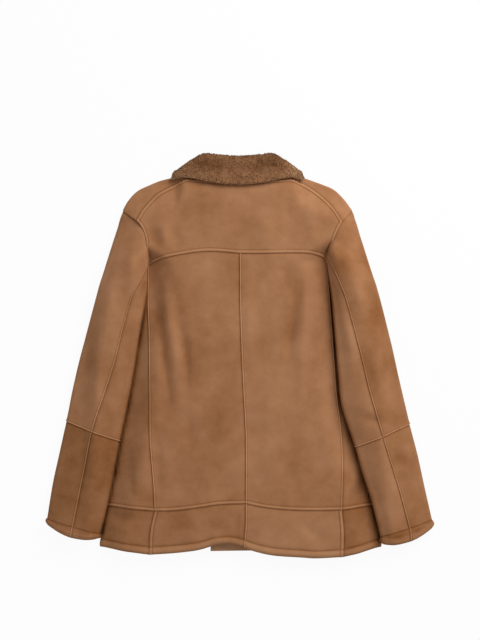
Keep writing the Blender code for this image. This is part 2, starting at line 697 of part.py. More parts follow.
COLLAR_STEPS = 2 * (len(COLLAR) - 1)
FALL_COLUMNS = 6
STAND_ROWS = 3
STAND_EDGE = [(-0.109, 0.375), (-0.097, 0.380), (0.0, 0.388), (0.097, 0.380), (0.109, 0.375)]
# How far the stand's top edge lifts, by distance from the middle, to meet the collar's underside.
STAND_RISE = [(0.0, 0.0067), (0.070, 0.0084), (0.097, 0.0071), (0.109, 0.0028)]


def make_collar_fall():
    """The wool collar as a plain solid of its reach, round the neck from front end to front end."""
    def place(column, row, layer):
        along = row - COLLAR_STEPS / 2
        reach = COLLAR_RIGHT if along > 0 else -1
        station = len(COLLAR) - 1 - abs(along)
        fx, fy, fz, ex, ey, ez, turn, full = COLLAR[int(station)]
        share = column / FALL_COLUMNS
        middle = Vector((fx, fy, fz)).lerp(Vector((ex, ey, ez)), share)
        round_off = math.sin(math.pi * share) ** COLLAR_ROUND if 0 < column < FALL_COLUMNS else 0.0
        thick = full * mix(COLLAR_EDGE, 1, round_off)
        face = Vector((math.sin(math.radians(turn)), 0, math.cos(math.radians(turn))))
        point = middle + face * thick * (0.5 - layer)
        return Vector((point.x * reach, point.y, point.z))
    slab("collar_fall", [(0, FALL_COLUMNS, 0, COLLAR_STEPS)], place, BROWN_WOOL, 1.0)


def make_collar_stand():
    plan = patch(line(NECK_SEAM), line(STAND_EDGE),
                 line([NECK_SEAM[0], STAND_EDGE[0]]), line([NECK_SEAM[-1], STAND_EDGE[-1]]))

    def place(column, row, layer):
        share = row / STAND_ROWS
        point = back_point(plan(column / YOKE_COLUMNS, share), layer * WALL)
        point.z += table(STAND_RISE, abs(point.x)) * share ** 2
        return point
    slab("collar_stand", [(0, YOKE_COLUMNS, 0, STAND_ROWS)], place)


# ---------------------------------------------------------------- the jacket

for old in list(bpy.data.objects):
    bpy.data.objects.remove(old, do_unlink=True)

make_back_yoke()
for each_side in ("left", "right"):
    make_back(each_side)
    make_hem_back(each_side)
    make_side(each_side)
    make_hem_side(each_side)
    make_front(each_side)
    make_hem_front(each_side)
    make_sleeve_piece(each_side, "topsleeve", "upper", 0, ELBOW)
    make_sleeve_piece(each_side, "topsleeve", "lower", ELBOW, CUFF_TURN)
    make_sleeve_piece(each_side, "undersleeve", "upper", 0, ELBOW)
    make_sleeve_piece(each_side, "undersleeve", "lower", ELBOW, CUFF_TURN)
    make_cuff(each_side)
for index, height_up in enumerate(BUTTON_HEIGHTS_UP):
    make_button(index + 1, height_up)
make_collar_fall()
make_collar_stand()
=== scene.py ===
# %% [markdown]
# # A shearling jacket, laid out on its front
# The garment is sewn from pieces of sheepskin with the suede outside and the sheared wool inside. This
# script makes the look of each piece over the CAD frame: hide with lapped seams, folds and nap, a curly
# wool collar, stitches and turned horn buttons. +X is the wearer's right, +Y runs from hem to collar and
# +Z points up from the surface. Lengths are in metres.

# %% Load the frame
import math
import random

import bmesh
import bpy
import numpy as np
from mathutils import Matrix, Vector, noise


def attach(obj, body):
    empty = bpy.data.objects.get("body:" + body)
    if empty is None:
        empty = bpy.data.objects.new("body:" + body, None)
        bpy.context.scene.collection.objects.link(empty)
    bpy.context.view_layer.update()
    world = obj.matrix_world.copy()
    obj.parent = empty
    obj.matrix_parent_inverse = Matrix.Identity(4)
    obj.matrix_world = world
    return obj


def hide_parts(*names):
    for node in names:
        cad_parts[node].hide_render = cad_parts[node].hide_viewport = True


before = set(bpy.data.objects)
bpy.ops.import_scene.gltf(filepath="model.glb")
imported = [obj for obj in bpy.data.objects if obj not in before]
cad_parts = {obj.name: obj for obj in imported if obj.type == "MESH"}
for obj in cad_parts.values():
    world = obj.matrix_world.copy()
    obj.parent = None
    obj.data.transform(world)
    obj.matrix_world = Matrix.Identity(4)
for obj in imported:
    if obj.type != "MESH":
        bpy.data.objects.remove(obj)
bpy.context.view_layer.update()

# %% [markdown]
# ## Finishes
# A colour is written as its sRGB value and turned into the linear one that a shader takes. Every node of
# a material is added by one small function, so that a finish reads as a list of what it is made of.

# %% Small tools for materials
def colour(hexed):
    """An sRGB colour such as "a07850" as linear red, green, blue and alpha."""
    parts = [int(hexed[i:i + 2], 16) / 255 for i in (0, 2, 4)]
    return tuple(c / 12.92 if c <= 0.04045 else ((c + 0.055) / 1.055) ** 2.4 for c in parts) + (1.0,)


def fill(made, node, inputs):
    """Fills a node's inputs: each name or number has another node's socket, or a plain value."""
    for name, value in inputs.items():
        if isinstance(value, bpy.types.NodeSocket):
            made.node_tree.links.new(node.inputs[name], value)
        else:
            node.inputs[name].default_value = value


def add(made, kind, inputs=None, settings=None, stops=()):
    """Adds a node with its inputs and settings; stops are a ramp's (position, grey or hex colour)."""
    node = made.node_tree.nodes.new(kind)
    for name, value in (settings or {}).items():
        setattr(node, name, value)
    fill(made, node, inputs or {})
    if stops:
        band = node.color_ramp
        while len(band.elements) < len(stops):
            band.elements.new(0.5)
        for element, (position, value) in zip(band.elements, stops):
            element.position = position
            element.color = colour(value) if isinstance(value, str) else (value, value, value, 1.0)
    return node


def start(name):
    """A new material and its shader."""
    made = bpy.data.materials.new(name)
    made.use_nodes = True
    return made, made.node_tree.nodes["Principled BSDF"]


print("plain suede brown, linear:", [round(part, 3) for part in colour("9f6f4c")])

# %% [markdown]
# ## Suede
# Suede is the flesh side of the skin, buffed to a short nap. It is dull at every angle, with a soft
# sheen where light grazes the nap. The dye takes in clouds of about 70 mm and patches of about 20 mm,
# and the nap has a grain of about 2 mm over a finer one. Fold ridges and welt crests are painted paler,
# as painted highlight with some rubbed wear on the crests. Creases, seam steps and the hide beside the
# sleeves are painted darker as painted shade. Each piece carries that as a colour attribute of wear and
# painted shade, where 0.5 is the plain shade.

# %% Suede
# Each pattern as repeats to a metre, detail and roughness, and how much it shifts the shade.
CLOUDS = {"Scale": 15.0, "Detail": 3.0, "Roughness": 0.5}
PATCHES = {"Scale": 44.0, "Detail": 4.0, "Roughness": 0.6}
NAP = {"Scale": 420.0, "Detail": 3.0, "Roughness": 0.7}
GRAIN = {"Scale": 1400.0, "Detail": 2.0, "Roughness": 0.6}
CLOUD_SHARE = 0.42
PATCH_SHARE = 0.20
NAP_SHARE = 0.14
SUEDE_BROWNS = [(0.0, "341806"), (0.25, "80502a"), (0.5, "9f6f4c"), (0.75, "b48460"), (1.0, "c99c78")]


def weigh(made, source, weight, base):
    """base plus weight times how far a noise lies from its middle value of 0.5."""
    scaled = add(made, "ShaderNodeMath", {0: source, 1: weight, 2: base}, {"operation": "MULTIPLY_ADD"})
    return add(made, "ShaderNodeMath", {0: scaled.outputs[0], 1: weight / 2},
               {"operation": "SUBTRACT"}).outputs[0]


def make_suede():
    made, shader = start("tan suede")
    place = add(made, "ShaderNodeTexCoord").outputs["Object"]
    # the pieces' attribute of wear with painted light and shade
    level = add(made, "ShaderNodeAttribute", settings={"attribute_name": "wear_and_painted_shade"}).outputs["Fac"]
    clouds, patches, nap, grain = [
        add(made, "ShaderNodeTexNoise", {"Vector": place, **pattern}).outputs["Fac"]
        for pattern in (CLOUDS, PATCHES, NAP, GRAIN)]
    for pattern, weight in ((clouds, CLOUD_SHARE), (patches, PATCH_SHARE), (nap, NAP_SHARE)):
        level = weigh(made, pattern, weight, level)
    shade = add(made, "ShaderNodeValToRGB", {"Fac": level}, stops=SUEDE_BROWNS)
    rough = add(made, "ShaderNodeBump", {"Height": nap, "Strength": 0.35, "Distance": 0.0008})
    fine = add(made, "ShaderNodeBump", {"Height": grain, "Normal": rough.outputs[0], "Strength": 0.30,
                                        "Distance": 0.0003})
    fill(made, shader, {"Base Color": shade.outputs["Color"], "Normal": fine.outputs[0],
                        "Roughness": 0.95, "Specular IOR Level": 0.12, "Sheen Weight": 0.15,
                        "Sheen Roughness": 0.45, "Sheen Tint": colour("d9b08a")})
    return made


SUEDE = make_suede()
print(SUEDE.name, "has", len(SUEDE.node_tree.nodes), "nodes")

# %% [markdown]
# ## Wool, horn and thread
# The wool inside is sheared short and stays a dull brown with small curls. The collar's wool is paler and
# finer, and takes its shade from the same attribute of wear and painted shade. It is darker in the hollows
# between its heaps and paler on the heaps, as painted shade and light. It is darker in a band along the
# roll's crest, and paler at the free edge and at the ends. The buttons are turned horn with a soft polish,
# and the thread is waxed and a little darker than the suede.

# %% Wool, horn and thread
# A colour mix's sockets go by number, as the ones for plain numbers and vectors have the same names.
MIX_FACTOR, MIX_FIRST, MIX_SECOND, MIX_COLOUR = 0, 6, 7, 2


def make_wool(name, dark, plain, pale, curls_per_metre):
    """Matt curly wool in three browns, the curls drawn in by an overlaid noise and a bump."""
    made, shader = start(name)
    place = add(made, "ShaderNodeTexCoord").outputs["Object"]
    wear_and_painted_shade = add(made, "ShaderNodeAttribute", settings={"attribute_name": "wear_and_painted_shade"}).outputs["Color"]
    curls = add(made, "ShaderNodeTexNoise", {"Vector": place, "Scale": curls_per_metre, "Detail": 4.0,
                                             "Roughness": 0.7}).outputs["Fac"]
    shade = add(made, "ShaderNodeValToRGB", {"Fac": wear_and_painted_shade}, stops=[(0.0, dark), (0.5, plain), (1.0, pale)])
    curly = add(made, "ShaderNodeValToRGB", {"Fac": curls}, stops=[(0.35, 0.38), (0.65, 0.62)])
    both = add(made, "ShaderNodeMix", {MIX_FACTOR: 1.0, MIX_FIRST: shade.outputs["Color"],
                                       MIX_SECOND: curly.outputs["Color"]},
               {"data_type": "RGBA", "blend_type": "OVERLAY"})
    bump = add(made, "ShaderNodeBump", {"Height": curls, "Strength": 0.4, "Distance": 0.0010})
    fill(made, shader, {"Base Color": both.outputs[MIX_COLOUR], "Normal": bump.outputs[0],
                        "Roughness": 1.0, "Specular IOR Level": 0.1, "Sheen Weight": 0.35,
                        "Sheen Roughness": 0.5, "Sheen Tint": colour("c79a70")})
    return made


def make_horn():
    """Horn in two dark browns that run through it in bands of about 8 mm."""
    made, shader = start("dark turned horn")
    place = add(made, "ShaderNodeTexCoord").outputs["Object"]
    bands = add(made, "ShaderNodeTexNoise", {"Vector": place, "Scale": 120.0, "Detail": 3.0})
    brown = add(made, "ShaderNodeValToRGB", {"Fac": bands.outputs["Fac"]},
                stops=[(0.35, "2c190e"), (0.65, "5a3820")])
    fill(made, shader, {"Base Color": brown.outputs["Color"], "Roughness": 0.32})
    return made


def make_thread():
    made, shader = start("waxed brown thread")
    fill(made, shader, {"Base Color": colour("7a5230"), "Roughness": 0.9, "Specular IOR Level": 0.1})
    return made


LINING = make_wool("sheared brown wool", "4a2d1a", "7d5536", "9a7250", 260.0)
CURLS = make_wool("curly brown wool", "5a3820", "8c6344", "b58d69", 520.0)
HORN = make_horn()
THREAD = make_thread()
print("finishes:", [m.name for m in (SUEDE, LINING, CURLS, HORN, THREAD)])

# %% [markdown]
# ## The garment's measures
# These are the frame's own measures. The body is a flat tube with rounded folds at the sides and the
# shoulders, and each sleeve is a second flat tube that starts at the armhole. The plan tables give the
# sewing lines as (x, y), so every visual piece lies on the solid that it stands for.

# %% Hide, folds and closure
# The hide and its seams.
WALL = 0.005                # hide with its wool, pressed flat
SEAM_GAP = 0.0004           # between two pieces that are sewn together
LAYER_GAP = 0.0006          # between two layers that lie on each other

# The body's section.
RIM_RADIUS = 0.006          # outside radius of the folds at the sides and shoulders
BODY_HEIGHT = 0.034         # top of the back where it is fullest
RAMP = 0.060                # how far inland from a fold the back reaches that height
SHOULDER_SLOPE = 0.85       # from the shoulders it rises this much more slowly

# The sleeves' section.
SLEEVE_RIM = [0.006, 0.009, 0.011, 0.011]      # fold radius at stations 0, 1, 2 and beyond
SLEEVE_CROWN = [0.022, 0.020, 0.017, 0.015]    # how far the top stands above them, likewise
LIFT = 2 * RIM_RADIUS + 0.0012                 # a sleeve's rise where it lies on the body
LIFT_MARGIN = 0.014                            # it stays up this far past the body's edge
LIFT_RUN = 0.035                               # how far it takes to come down from there
BULGE_FADE = 2.0                               # stations over which the armhole's curve dies out
ARMPIT_SEAM = 0.62                             # lower seam, as a share of the sleeve's width
SLEEVE_FULLNESS = 0.9                          # below 1 the sleeve's top is flatter than a sine
FOLD_CLEARANCE = 1.2                           # back seam's distance from the inner fold, in fold radii
CUFF_PROUD = 0.0010                            # the turned cuff stands this far out of the sleeve

# The closure: the left front laps over the right one.
LEFT_FRONT_EDGE = 0.022
RIGHT_FRONT_EDGE = -0.058
BUTTON_RADIUS = 0.0125
BUTTON_HEIGHT = 0.0040
BUTTON_RIM = 0.0010
BUTTON_HEIGHTS_UP = [0.165, 0.045, -0.075, -0.195]
BUTTON_RISE = BUTTON_HEIGHT + SEAM_GAP         # the front's edge is held up by its buttons
LAP_RISE = BUTTON_RISE + WALL + LAYER_GAP
LAP_START = 5                                  # column where each front starts to rise
LAP_FULL = 6                                   # column where it has risen

# The collar.
COLLAR_EDGE = 0.5            # thickness of the collar's edges, as a share of its middle's
COLLAR_ROUND = 0.7           # below 1 the thickness grows faster from the edges
COLLAR_RIGHT = 0.96          # its right half is drawn in towards the middle by this factor
print("overlap of the fronts:", round((LEFT_FRONT_EDGE - RIGHT_FRONT_EDGE) * 1000), "mm")

# %% Plan of each side
# The sewing lines as (x, y), each from the shoulder or the upper end downwards, or from the middle out.
PLAN = {
    "left": {
        "armhole": [(-0.238, 0.293), (-0.209, 0.273), (-0.190, 0.239), (-0.186, 0.180)],
        "shoulder_edge": [(-0.238, 0.293), (-0.226, 0.314), (-0.208, 0.333), (-0.184, 0.345),
                          (-0.159, 0.355), (-0.128, 0.362)],
        "shoulder_seam": [(-0.198, 0.290), (-0.183, 0.309), (-0.161, 0.330),
                          (-0.108, 0.357)],
        "yoke_seam": [(-0.186, 0.180), (-0.166, 0.191), (-0.141, 0.198), (-0.090, 0.207),
                      (-0.049, 0.209), (0.001, 0.205)],
        "side_seam": [(-0.186, 0.180), (-0.187, 0.107), (-0.184, 0.030), (-0.182, -0.090),
                      (-0.181, -0.174), (-0.174, -0.262), (-0.171, -0.316)],
        "armpit": [(-0.186, 0.180), (-0.223, 0.152), (-0.264, 0.128)],
        "side_edge": [(-0.264, 0.128), (-0.265, 0.030), (-0.267, -0.090), (-0.272, -0.200),
                      (-0.277, -0.308)],
        "hem_side_edge": [(-0.277, -0.308), (-0.281, -0.350), (-0.285, -0.392)],
        "hem_seam": [(0.013, -0.301), (-0.039, -0.303), (-0.080, -0.309), (-0.131, -0.315),
                     (-0.171, -0.316)],
        "hem_edge": [(0.009, -0.390), (-0.018, -0.384), (-0.048, -0.386), (-0.080, -0.395),
                     (-0.114, -0.400), (-0.147, -0.403), (-0.182, -0.405)],
        "hem_side_seam": [(-0.171, -0.316), (-0.180, -0.358), (-0.182, -0.405)],
        "front_side_seam": [(-0.225, 0.151), (-0.226, -0.080), (-0.228, -0.310)],
        "front_hem_side_seam": [(-0.228, -0.310), (-0.230, -0.392)],
        "front_hem_edge": [(-0.230, -0.392), (-0.100, -0.390), (LEFT_FRONT_EDGE, -0.384)],
    },
    "right": {
        "armhole": [(0.232, 0.293), (0.210, 0.271), (0.191, 0.232), (0.178, 0.190)],
        "shoulder_edge": [(0.232, 0.293), (0.226, 0.301), (0.214, 0.317), (0.194, 0.336),
                          (0.172, 0.346), (0.128, 0.362)],
        "shoulder_seam": [(0.192, 0.297), (0.169, 0.321), (0.139, 0.343),
                          (0.108, 0.357)],
        "yoke_seam": [(0.178, 0.190), (0.167, 0.199), (0.140, 0.205), (0.104, 0.206),
                      (0.053, 0.205), (0.001, 0.205)],
        "side_seam": [(0.178, 0.190), (0.184, 0.132), (0.192, 0.030), (0.199, -0.072),
                      (0.208, -0.150), (0.211, -0.225), (0.208, -0.314)],
        "armpit": [(0.178, 0.190), (0.218, 0.156), (0.262, 0.130)],
        "side_edge": [(0.262, 0.130), (0.263, 0.030), (0.266, -0.090), (0.273, -0.200),
                      (0.281, -0.307)],
        "hem_side_edge": [(0.281, -0.307), (0.287, -0.350), (0.291, -0.393)],
        "hem_seam": [(0.013, -0.301), (0.053, -0.309), (0.104, -0.314), (0.155, -0.315),
                     (0.208, -0.314)],
        "hem_edge": [(0.009, -0.390), (0.030, -0.398), (0.070, -0.407), (0.124, -0.411),
                     (0.158, -0.413), (0.211, -0.410)],
        "hem_side_seam": [(0.208, -0.314), (0.212, -0.360), (0.211, -0.410)],
        "front_side_seam": [(0.222, 0.154), (0.226, -0.080), (0.230, -0.310)],
        "front_hem_side_seam": [(0.230, -0.310), (0.232, -0.397)],
        "front_hem_edge": [(0.232, -0.397), (0.020, -0.399), (RIGHT_FRONT_EDGE, -0.400)],
    },
}
print("sewing lines:", {side: len(plan) for side, plan in PLAN.items()})

# %% Lines that both sides share, and the sleeves
# Seams and edges that both sides share.
CENTRE_SEAM = [(0.001, 0.205), (0.002, 0.081), (0.007, -0.048), (0.013, -0.174), (0.013, -0.301)]
HEM_CENTRE_SEAM = [(0.013, -0.301), (0.013, -0.340), (0.009, -0.390)]
NECK_SEAM = [(-0.108, 0.357), (-0.060, 0.354), (0.000, 0.352), (0.060, 0.354), (0.108, 0.357)]
FRONT_HEM_SEAM_Y = -0.310
FRONT_NECKLINE = [(0.128, 0.300), (0.103, 0.250), (0.058, 0.214)]     # either side's, mirrored on the left
FRONT_NECK_END_Y = 0.208
SHOULDER_SHARE = 0.28        # where the shoulder seam meets the armhole line, from the shoulder point

# Sleeves, a row for each section from armhole to cuff: outer edge, inner edge, and where the back
# seam crosses, as a share of the width from the outer edge.
SLEEVE = {
    "left": [
        # outer x, outer y, inner x, inner y, seam
        (-0.238, 0.293, -0.186, 0.180, 0.93),
        (-0.252, 0.245, -0.187, 0.130, 0.80),
        (-0.271, 0.185, -0.193, 0.088, 0.71),
        (-0.292, 0.111, -0.202, 0.035, 0.67),
        (-0.315, 0.028, -0.213, -0.035, 0.64),
        (-0.335, -0.052, -0.225, -0.100, 0.58),
        (-0.352, -0.136, -0.241, -0.176, 0.50),
        (-0.367, -0.205, -0.252, -0.236, 0.50),
        (-0.380, -0.265, -0.263, -0.292, 0.50),
        (-0.391, -0.334, -0.280, -0.362, 0.50),
        (-0.392, -0.345, -0.286, -0.373, 0.50),
    ],
    "right": [
        (0.232, 0.293, 0.178, 0.190, 0.93),
        (0.248, 0.240, 0.186, 0.132, 0.78),
        (0.268, 0.175, 0.190, 0.086, 0.69),
        (0.288, 0.108, 0.195, 0.030, 0.63),
        (0.309, 0.028, 0.201, -0.040, 0.57),
        (0.327, -0.052, 0.208, -0.104, 0.53),
        (0.348, -0.142, 0.235, -0.188, 0.52),
        (0.364, -0.205, 0.250, -0.240, 0.50),
        (0.378, -0.268, 0.268, -0.296, 0.48),
        (0.393, -0.336, 0.286, -0.368, 0.46),
        (0.395, -0.352, 0.290, -0.384, 0.46),
    ],
}
ELBOW = 6
CUFF_TURN = 9
CUFF_END = 10
CUFF_BOW = 0.011             # the sleeve's end is bowed out this far at its middle

HEM_EDGE_Y = -0.400          # the hem's edge, roughly
HEM_DIP = 0.060              # as if the hem's fold lay this far below its edge
SHOULDER_INSIDE_NECK = [(0.0, 0.402), (0.112, 0.392)]   # the shoulder fold's line inside the collar
PAST_SHOULDER = (0.300, 0.150)                          # and where it runs to over the sleeve
DIP_ABOVE_ARMPIT = [(0.016, 0.012), (0.080, 0.120)]     # up from the armhole's end, and further out
print("sleeve sections:", {side: len(rows) for side, rows in SLEEVE.items()})

# %% The collar's sections
# The collar from the front end to the middle of the back, for either side:
# fold edge x, y, z, free edge x, y, z, the turn of its outer face from up, in degrees, and thickness.
COLLAR = [
    (0.006, 0.276, 0.0045, 0.006, 0.220, 0.0045, 180, 0.009),
    (0.048, 0.288, 0.0045, 0.054, 0.231, 0.0045, 180, 0.009),
    (0.084, 0.318, 0.0045, 0.094, 0.272, 0.0045, 180, 0.009),
    (0.101, 0.352, 0.0048, 0.108, 0.334, 0.0048, 174, 0.009),
    (0.114, 0.376, 0.0082, 0.127, 0.373, 0.0082, 140, 0.010),
    (0.116, 0.380, 0.0170, 0.135, 0.359, 0.0190, 90, 0.011),
    (0.107, 0.386, 0.0260, 0.130, 0.356, 0.0217, 50, 0.012),
    (0.093, 0.396, 0.0270, 0.107, 0.359, 0.0285, 15, 0.012),
    (0.070, 0.408, 0.0240, 0.070, 0.352, 0.0350, 0, 0.012),
    (0.034, 0.405, 0.0230, 0.034, 0.346, 0.0375, 0, 0.012),
    (0.000, 0.403, 0.0230, 0.000, 0.344, 0.0380, 0, 0.012),
]
print("collar sections:", len(COLLAR))

# %% [markdown]
# ## Lines and sheets
# A pattern cutter works with a few measured points joined by a smooth curve. `line` does the same, and
# `patch` spans the sheet between four such lines.

# %% Lines
def ease(share):
    """0 to 1 with a soft start and end."""
    share = min(max(share, 0.0), 1.0)
    return share * share * (3 - 2 * share)


def mix(a, b, share):
    return a + (b - a) * share


def curve_through(a, b, c, d, k):
    """The smooth curve from b to c that a and d steer."""
    bend = (c - a) * k + (2 * a - 5 * b + 4 * c - d) * k ** 2 + (3 * b - a - 3 * c + d) * k ** 3
    return b + bend / 2


def line(points):
    """A smooth line through the points, read by its share of length from 0 to 1."""
    marks = [Vector(point) for point in points]
    runs = [0.0]
    for before, after in zip(marks, marks[1:]):
        runs.append(runs[-1] + (after - before).length)

    def at(share):
        run = min(max(share, 0.0), 1.0) * runs[-1]
        i = 0
        while i < len(marks) - 2 and runs[i + 1] < run:
            i += 1
        k = (run - runs[i]) / (runs[i + 1] - runs[i])
        b, c = marks[i], marks[i + 1]
        before = marks[i - 1] if i > 0 else 2 * b - c
        after = marks[i + 2] if i + 2 < len(marks) else 2 * c - b
        return curve_through(before, b, c, after, k)
    return at


def back_along(curve):
    return lambda share: curve(1 - share)


def part_of(curve, start, end):
    return lambda share: curve(mix(start, end, share))


def chain(stops, *curves):
    """Several lines end to end; stops gives the shares where one hands over to the next."""
    def at(share):
        for first, last, curve in zip(stops, stops[1:], curves):
            if share <= last:
                return curve((share - first) / (last - first))
        return curves[-1](1.0)
    return at


print("half way along a bent line:", line([(0, 0), (1, 0), (1, 1)])(0.5))

# %% Sheets and readings of tables
def patch(south, north, west, east):
    """The sheet that four edge lines bound, read by (u, v) from its south-west corner."""
    def at(u, v):
        edges = south(u) * (1 - v) + north(u) * v + west(v) * (1 - u) + east(v) * u
        corners = (south(0) * (1 - u) + south(1) * u) * (1 - v) + (north(0) * (1 - u) + north(1) * u) * v
        return edges - corners
    return at


def stations(rows, at):
    """One smooth reading of a table's columns at a fractional row."""
    last = len(rows) - 1
    i = min(int(at), last - 1)
    k = at - i
    values = []
    for column, (b, c) in enumerate(zip(rows[i], rows[i + 1])):
        before = rows[i - 1][column] if i > 0 else 2 * b - c
        after = rows[i + 2][column] if i + 2 <= last else 2 * c - b
        values.append(curve_through(before, b, c, after, k))
    return values


def table(rows, at):
    """The second column where the first one is at, joined by straight lines."""
    for (low, below), (high, above) in zip(rows, rows[1:]):
        if at <= high:
            return mix(below, above, min(max((at - low) / (high - low), 0.0), 1.0))
    return rows[-1][1]


print("a sleeve fold's radius at station 0.5:", stations([[r] for r in SLEEVE_RIM], 0.5))

# %% The sewing lines
LINES = {side: {name: line(points) for name, points in plan.items()} for side, plan in PLAN.items()}
for lines_of_side, plan_of_side in zip(LINES.values(), PLAN.values()):
    seam_start = tuple(lines_of_side["armhole"](SHOULDER_SHARE))
    lines_of_side["shoulder_seam"] = line([seam_start] + plan_of_side["shoulder_seam"])
SIGN = {"left": -1, "right": 1}
print("left armhole runs to", [round(v, 3) for v in LINES["left"]["armhole"](1)])

# %% [markdown]
# ## Form of the body and the sleeves
# `ring` is the section of a flat tube, `crown` is how far the back stands up from its folds, and `lift`
# is how far a sleeve is raised by the side panel that it lies on.

# %% Form of the body
def ring(width, radius, girth, depth):
    """A flat tube's wall: distance in from its edge, and height, at a girth from that edge.

    Girth counts up over the top from the edge's outermost line, and down under it as a negative.
    """
    quarter = math.pi / 2 * radius
    up = 1 if girth >= 0 else -1
    reach = abs(girth)
    inner = radius - depth
    if reach < quarter:
        turn = reach / radius
        return radius - inner * math.cos(turn), radius + up * inner * math.sin(turn)
    reach -= quarter
    flat = width - 2 * radius
    if reach <= flat:
        return radius + reach, radius + up * inner
    turn = min((reach - flat) / radius, math.pi / 2)
    return width - radius + inner * math.sin(turn), radius + up * inner * math.cos(turn)


def shoulder_y(x):
    """Height up the page of the shoulder fold, which the neck carries on inside the collar."""
    side = "left" if x < 0 else "right"
    edge = PLAN[side]["shoulder_edge"]
    rows = [(abs(px), py) for px, py in reversed(edge)]
    return table(SHOULDER_INSIDE_NECK + rows + [PAST_SHOULDER], abs(x))


def dip_x(x, y):
    """Distance from the middle of the line where a sleeve meets the back, which the back dips to."""
    side = "left" if x < 0 else "right"
    rows = [(row[3], abs(row[2])) for row in reversed(SLEEVE[side])]
    top_y, top_x = rows[-1]
    rows += [(top_y + up, top_x + out) for up, out in DIP_ABOVE_ARMPIT]
    return table(rows, y)


def crown(x, y):
    """How far the back stands above the height of its folds."""
    hem = HEM_EDGE_Y - HEM_DIP
    inland = min(dip_x(x, y) - abs(x), (shoulder_y(x) - y) * SHOULDER_SLOPE, y - hem)
    return (BODY_HEIGHT - 2 * RIM_RADIUS) * ease(inland / RAMP)


def back_point(plan, depth):
    x, y = plan
    return Vector((x, y, 2 * RIM_RADIUS + crown(x, y) - depth))


def folded_point(edge, inward, girth, depth):
    """A point of a piece that goes round a fold of the body, at a girth from the fold's edge."""
    across, height = ring(1.0, RIM_RADIUS, girth, depth)
    x, y = edge + inward * across
    return Vector((x, y, height + crown(x, y) * ease(height / (2 * RIM_RADIUS) if girth > 0 else 0.0)))


print("back's height at its middle:", round(back_point((0.0, 0.0), 0.0).z, 3))

# %% Form of the sleeves
def lift(side, x, y):
    """How far a sleeve is raised at a place by the side panel below it."""
    corner, tip = LINES[side]["armpit"](0), LINES[side]["armpit"](1)
    slope = (tip - corner).normalized()
    above = Vector((-slope.y, slope.x)) * SIGN[side]
    past_armpit = (Vector((x, y)) - corner).dot(above)
    edge_rows = PLAN[side]["hem_side_edge"][::-1][:-1] + PLAN[side]["side_edge"][::-1]
    past_side = abs(x) - table([(py, abs(px)) for px, py in edge_rows], y)
    outside = max(past_armpit, past_side)
    return LIFT * (1 - ease((outside - LIFT_MARGIN) / LIFT_RUN))


def sleeve_size(side, station):
    """Outer edge, inner edge, seam share, fold radius and crown at a station."""
    outer_x, outer_y, inner_x, inner_y, seam = stations(SLEEVE[side], station)
    i = min(int(station), len(SLEEVE_RIM) - 2)
    share = min(station - i, 1.0)
    radius = mix(SLEEVE_RIM[i], SLEEVE_RIM[i + 1], share)
    top = mix(SLEEVE_CROWN[i], SLEEVE_CROWN[i + 1], share)
    return Vector((outer_x, outer_y)), Vector((inner_x, inner_y)), seam, radius, top


def sleeve_point(side, station, girth, depth, proud=0.0):
    outer, inner, seam, radius, top = sleeve_size(side, station)
    width = (inner - outer).length
    across, height = ring(width, radius, girth, depth - proud)
    share = across / width
    start, end = LINES[side]["armhole"](0), LINES[side]["armhole"](1)
    bulge = LINES[side]["armhole"](share) - start.lerp(end, share)
    plan = outer.lerp(inner, share) + bulge * (1 - ease(station / BULGE_FADE))
    plan.y -= CUFF_BOW * 4 * share * (1 - share) * max(station - CUFF_TURN, 0.0)
    if girth > 0:
        inset = min(max((across - radius) / (width - 2 * radius), 0.0), 1.0)
        height += top * math.sin(math.pi * inset) ** SLEEVE_FULLNESS if 0 < inset < 1 else 0.0
    height = max(height, 0.0)
    return Vector((plan.x, plan.y, height + lift(side, plan.x, plan.y)))


def seam_girth(side, station):
    """Girth of the back seam, of the inner edge and of the lower seam, from the outer edge."""
    outer, inner, seam, radius, top = sleeve_size(side, station)
    width = (inner - outer).length
    quarter = math.pi / 2 * radius
    back = quarter + min(seam * width, width - FOLD_CLEARANCE * radius) - radius
    under = quarter + ARMPIT_SEAM * width - radius
    whole = 2 * (2 * quarter + width - 2 * radius)
    return back, under, whole


print("round the elbow and the cuff:", [round(seam_girth("left", s)[2], 3) for s in (ELBOW, CUFF_END)])

# %% [markdown]
# ## Folds
# A jacket that lies on its front keeps the folds of wear: long soft troughs down the back beside the
# armholes, a deep one where each sleeve leaves the shoulder, and short ones across the elbows. Each is a
# row with its height at the middle (below zero for a trough), its half width, and its course as (x, y).
# The same rows make the underside's folds through the thin hide.

